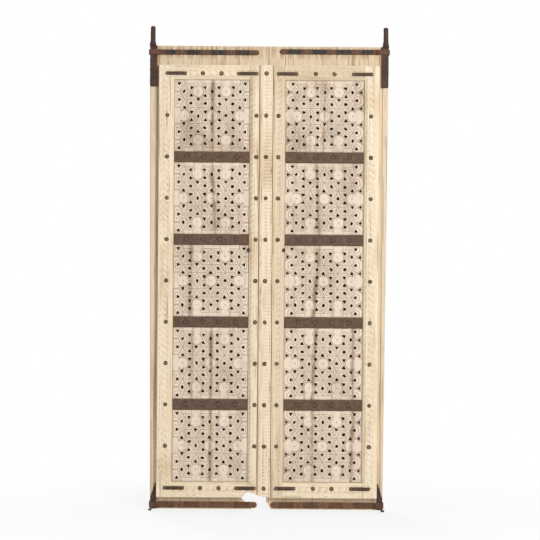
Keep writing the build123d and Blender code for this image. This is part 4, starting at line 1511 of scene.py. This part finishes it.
def hammered(leaf, part, nails):
    """A dented, round-edged copy of a forged solid."""
    node_name = f"{leaf}_{part}"
    iron, slot, voxel, dent, base_rust, swell = FORGED[part]
    made = new_object(f"{node_name}_forged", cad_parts[node_name].data.copy())
    weld = made.modifiers.new("weld", "WELD")
    weld.merge_threshold = WELD_REACH
    skin = made.modifiers.new("skin", "REMESH")
    skin.mode = "VOXEL"
    skin.voxel_size = voxel
    soften = made.modifiers.new("soften", "SMOOTH")
    soften.factor = 0.5
    soften.iterations = 3
    mesh = plain_mesh(made, f"{node_name}_forged").data
    points = points_of(mesh)
    x, y, z = points.T
    seed = sum(ord(letter) for letter in node_name)
    waves = ripple(x + y, z, 0.045, seed) + 0.6 * ripple(x, z + y, 0.014, seed + 1)
    points += points_of(mesh, "normal") * (dent * (waves - 1.1) + swell)[:, None]
    if part == "top_pivot":
        flared_pin(points)
    set_points(mesh, points)
    rust = np.full(len(points), base_rust)
    for px, _, pz in nails:
        away = np.hypot(points[:, 0] - px, (points[:, 2] - pz) * 0.6)
        rust = np.maximum(rust, np.clip(1.15 - away / NAIL_RUST, 0, 0.9))
    set_mark(mesh, "rust", rust)
    mesh.materials.clear()
    mesh.materials.append(irons[iron])
    mesh.shade_smooth()
    mesh.update()
    hand_over(made, f"{leaf}_leaf", [node_name])
    return len(mesh.polygons)


for leaf in LEAVES:
    nails = head_places(f"{leaf}_strap_nails", 0.009)
    side = -1 if leaf == "left" else 1
    wrap = [(side * x, 0.0, STRAP_Z) for x in WRAP_X]
    rusty = {"top_strap": nails + wrap, "bottom_strap": nails}
    counts = [hammered(leaf, part, rusty.get(part, ())) for part in FORGED]
    print(leaf, "hammered pieces, faces:", counts)


# %% [markdown]
# There are over a hundred studs, rivets and nails, and no two are alike. One Geometry
# Nodes tree makes them all: a low dome on each point, turned and sized by chance, then a noise that
# dents every dome in its own way once they are real geometry. The points are the places of the heads in
# the solids, so each new head sits exactly where the old one did.

# %% Forged heads
CROWN_POWER = 1.35
# For each kind of head: its radius, its height, its dents and its seed
HEADS = {
    "astragal_studs": (0.0102, 0.0064, 0.0022, 5),
    "frame_studs": (0.0102, 0.0064, 0.0022, 10),
    "strap_rivets": (0.0066, 0.0026, 0.0010, 20),
    "strap_nails": (0.0074, 0.0031, 0.0014, 30)}

heads_tree = Tree("forged_heads", {
    "Radius": "Float", "Height": "Float", "Dent": "Float", "Seed": "Int", "Iron": "Material"})
t = heads_tree
dome = t.add("GeometryNodeMeshUVSphere", {"Segments": 14, "Rings": 8, "Radius": 1.0}).outputs["Mesh"]
parts = t.add("ShaderNodeSeparateXYZ", {0: t.add("GeometryNodeInputPosition").outputs[0]}).outputs
crown = t.value("POWER", t.value("MAXIMUM", parts["Z"], 0.0), CROWN_POWER)
bell = t.add("ShaderNodeCombineXYZ", {"X": parts["X"], "Y": parts["Y"], "Z": crown}).outputs[0]
dome = t.add("GeometryNodeSetPosition", {"Geometry": dome, "Position": bell}).outputs["Geometry"]
size = {"X": t.given["Radius"], "Y": t.given["Radius"], "Z": t.given["Height"]}
size = t.add("ShaderNodeCombineXYZ", size).outputs[0]
dome = t.add("GeometryNodeTransform", {"Geometry": dome, "Scale": size}).outputs["Geometry"]
about = t.add("ShaderNodeCombineXYZ", {"X": math.radians(90), "Y": t.chance(0.0, 6.28)}).outputs[0]
growth = t.chance((0.88, 0.88, 0.85), (1.0, 1.0, 1.0), "FLOAT_VECTOR")
set_heads = t.add("GeometryNodeInstanceOnPoints", {
    "Points": t.given["Geometry"], "Instance": dome,
    "Rotation": about, "Scale": growth}).outputs["Instances"]
real = t.add("GeometryNodeRealizeInstances", {"Geometry": set_heads}).outputs["Geometry"]
inward = t.vector("SUBTRACT", t.noise(150.0, 1.5)["Color"], (0.5, 0.15, 0.5))
inward = t.scaled(inward, t.given["Dent"])
dented = t.add("GeometryNodeSetPosition", {"Geometry": real, "Offset": inward}).outputs["Geometry"]
t.finish(dented, t.given["Iron"])


def forged_heads(node_name, kind, number, body):
    """Every head of one node, as one plain mesh."""
    radius, height, dent, seed = HEADS[kind]
    places = head_places(node_name, radius)
    mesh = bpy.data.meshes.new(node_name)
    mesh.from_pydata(places, [], [])
    made = heads_tree.run(f"{node_name}_heads", mesh, {
        "Radius": radius, "Height": height, "Dent": dent, "Seed": seed + number, "Iron": irons["stud"]})
    points = points_of(made.data)
    points[:, 1] = np.maximum(points[:, 1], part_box(node_name)[0][1])
    set_points(made.data, points)
    from_middle = np.full(len(points), np.inf)
    for px, _, pz in places:
        from_middle = np.minimum(from_middle, np.hypot(points[:, 0] - px, points[:, 2] - pz))
    # Each head darkens toward its rim through the mark "rust": partly rust, partly painted shade on the
    # dome's sloping edge
    set_mark(made.data, "rust", 0.95 * np.clip(from_middle / radius, 0, 1) ** 3)
    made.data.shade_smooth()
    hand_over(made, body, [node_name])
    return len(places)


print("cover strip studs", forged_heads("astragal_studs", "astragal_studs", 0, "left_leaf"))
for number, leaf in enumerate(LEAVES):
    for kind in ("frame_studs", "strap_rivets", "strap_nails"):
        print(leaf, kind, forged_heads(f"{leaf}_{kind}", kind, number, f"{leaf}_leaf"))


# %% [markdown]
# No light comes through between these doors: the joints between the boards are packed with dust and old
# paste. Thin strips set in the joints stand for the packing. They follow the slanted joint of the right leaf
# as well. A dark strip between the meeting edges is painted shade: it stands for the shade in the gap
# between the leaves.

# %% Packed joints and the painted shade between the leaves
# The x of each joint at the foot and at the head, and half its width
JOINT_LINES = {
    "left": ((-0.3740, -0.3740, 0.0005), (-0.2490, -0.2490, 0.0005), (-0.1310, -0.1310, 0.0005)),
    "right": ((0.3420, 0.3420, 0.0005), (0.2000, 0.2320, 0.0004), (0.0710, 0.0710, 0.0005))}
LIP = (-0.0017, -0.0017, 0.00115)
BOARD_ENDS_Z = (0.009, 2.011)
PACKING_Y = (0.0015, 0.0255)
PACKING_Z = (0.0095, 2.0105)
LIP_Y = (0.008, 0.0255)
LIP_Z = (0.0705, 2.0105)
STRIP_POINTS = 60
PACKED_DUST = (srgb(128, 106, 80), srgb(104, 84, 62), srgb(82, 64, 46), srgb(54, 40, 28))
GAP_SHADE = (srgb(84, 64, 46), srgb(66, 50, 36), srgb(50, 37, 26), srgb(34, 24, 16))


def upright_strips(name, lines, y_range, z_range, material, body):
    """Thin upright strips, each from its x at the foot to its x at the head."""
    near, far = y_range
    points = []
    faces = []
    for foot_x, head_x, half in lines:
        first = len(points)
        for z in np.linspace(*z_range, STRIP_POINTS):
            middle = np.interp(z, BOARD_ENDS_Z, (foot_x, head_x))
            low, high = middle - half, middle + half
            points += [(low, near, z), (high, near, z), (high, far, z), (low, far, z)]
        last = len(points) - 4
        for at in range(first, last, 4):
            faces += [(at + i, at + (i + 1) % 4, at + 4 + (i + 1) % 4, at + 4 + i) for i in range(4)]
        faces.append(tuple(range(first + 3, first - 1, -1)))
        faces.append(tuple(range(last, last + 4)))
    piece_from(name, points, faces, material, body)
    print(name, "faces", len(faces))


packing = weathered_wood("packed_dust", GRAIN_UP, PACKED_DUST, 0.6, 6.0).made()
for leaf in LEAVES:
    upright_strips(f"{leaf}_joint_packing", JOINT_LINES[leaf], PACKING_Y, PACKING_Z, packing, f"{leaf}_leaf")
# A dark strip in the gap between the leaves: painted shade
gap_shade_wood = weathered_wood("gap_shade_wood", GRAIN_UP, GAP_SHADE, 0.6, 8.0).made()
upright_strips("left_meeting_lip", [LIP], LIP_Y, LIP_Z, gap_shade_wood, "left_leaf")


# %% [markdown]
# Beside the third strap the stumps of two old staples are left in the stiles, where a ring or a bar was
# once held. They are short bent rods, broken off near the wood.

# %% Staple stumps
STUMP_Z = 1.130
STUMP_TIP_Y = -0.0375
STUMP_RADII = (0.0068, 0.0054)
STUMP_LEAN = 0.002
# For each leaf: where its stump stands, and where it leaves the wood
STUMPS = {"left": (-0.0840, -0.0230), "right": (0.0680, -0.0240)}


def stump(name, x, foot_y, lean, body, rings=7, sides=12):
    """A short tapering rod out of the wood, with a broken end."""
    random = np.random.default_rng(int(STUMP_Z * 1000) + int(x * 1000 + 500))
    last = rings - 1
    points = []
    for ring in range(rings):
        way = ring / last
        radius = (STUMP_RADII[0] + (STUMP_RADII[1] - STUMP_RADII[0]) * way) * (1 if ring < last else 0.7)
        y = foot_y + (STUMP_TIP_Y - foot_y) * way
        for side in range(sides):
            angle = 2 * math.pi * side / sides
            reach = radius * random.uniform(0.88, 1.1)
            points.append((x + lean * way ** 2 + reach * math.cos(angle), y,
                           STUMP_Z + 1.3 * reach * math.sin(angle) - 0.002 * way))
    faces = [tuple(range(sides)), tuple(reversed(range(last * sides, rings * sides)))]
    for ring in range(last):
        for side in range(sides):
            a, b = ring * sides + side, ring * sides + (side + 1) % sides
            faces.append((b, a, a + sides, b + sides))
    piece_from(name, points, faces, irons["corner_plate"], body)


for leaf, (x, foot_y) in STUMPS.items():
    lean = math.copysign(STUMP_LEAN, -x)
    stump(f"{leaf}_staple_stump", x, foot_y, lean, f"{leaf}_leaf")
print("staple stumps", len(STUMPS))
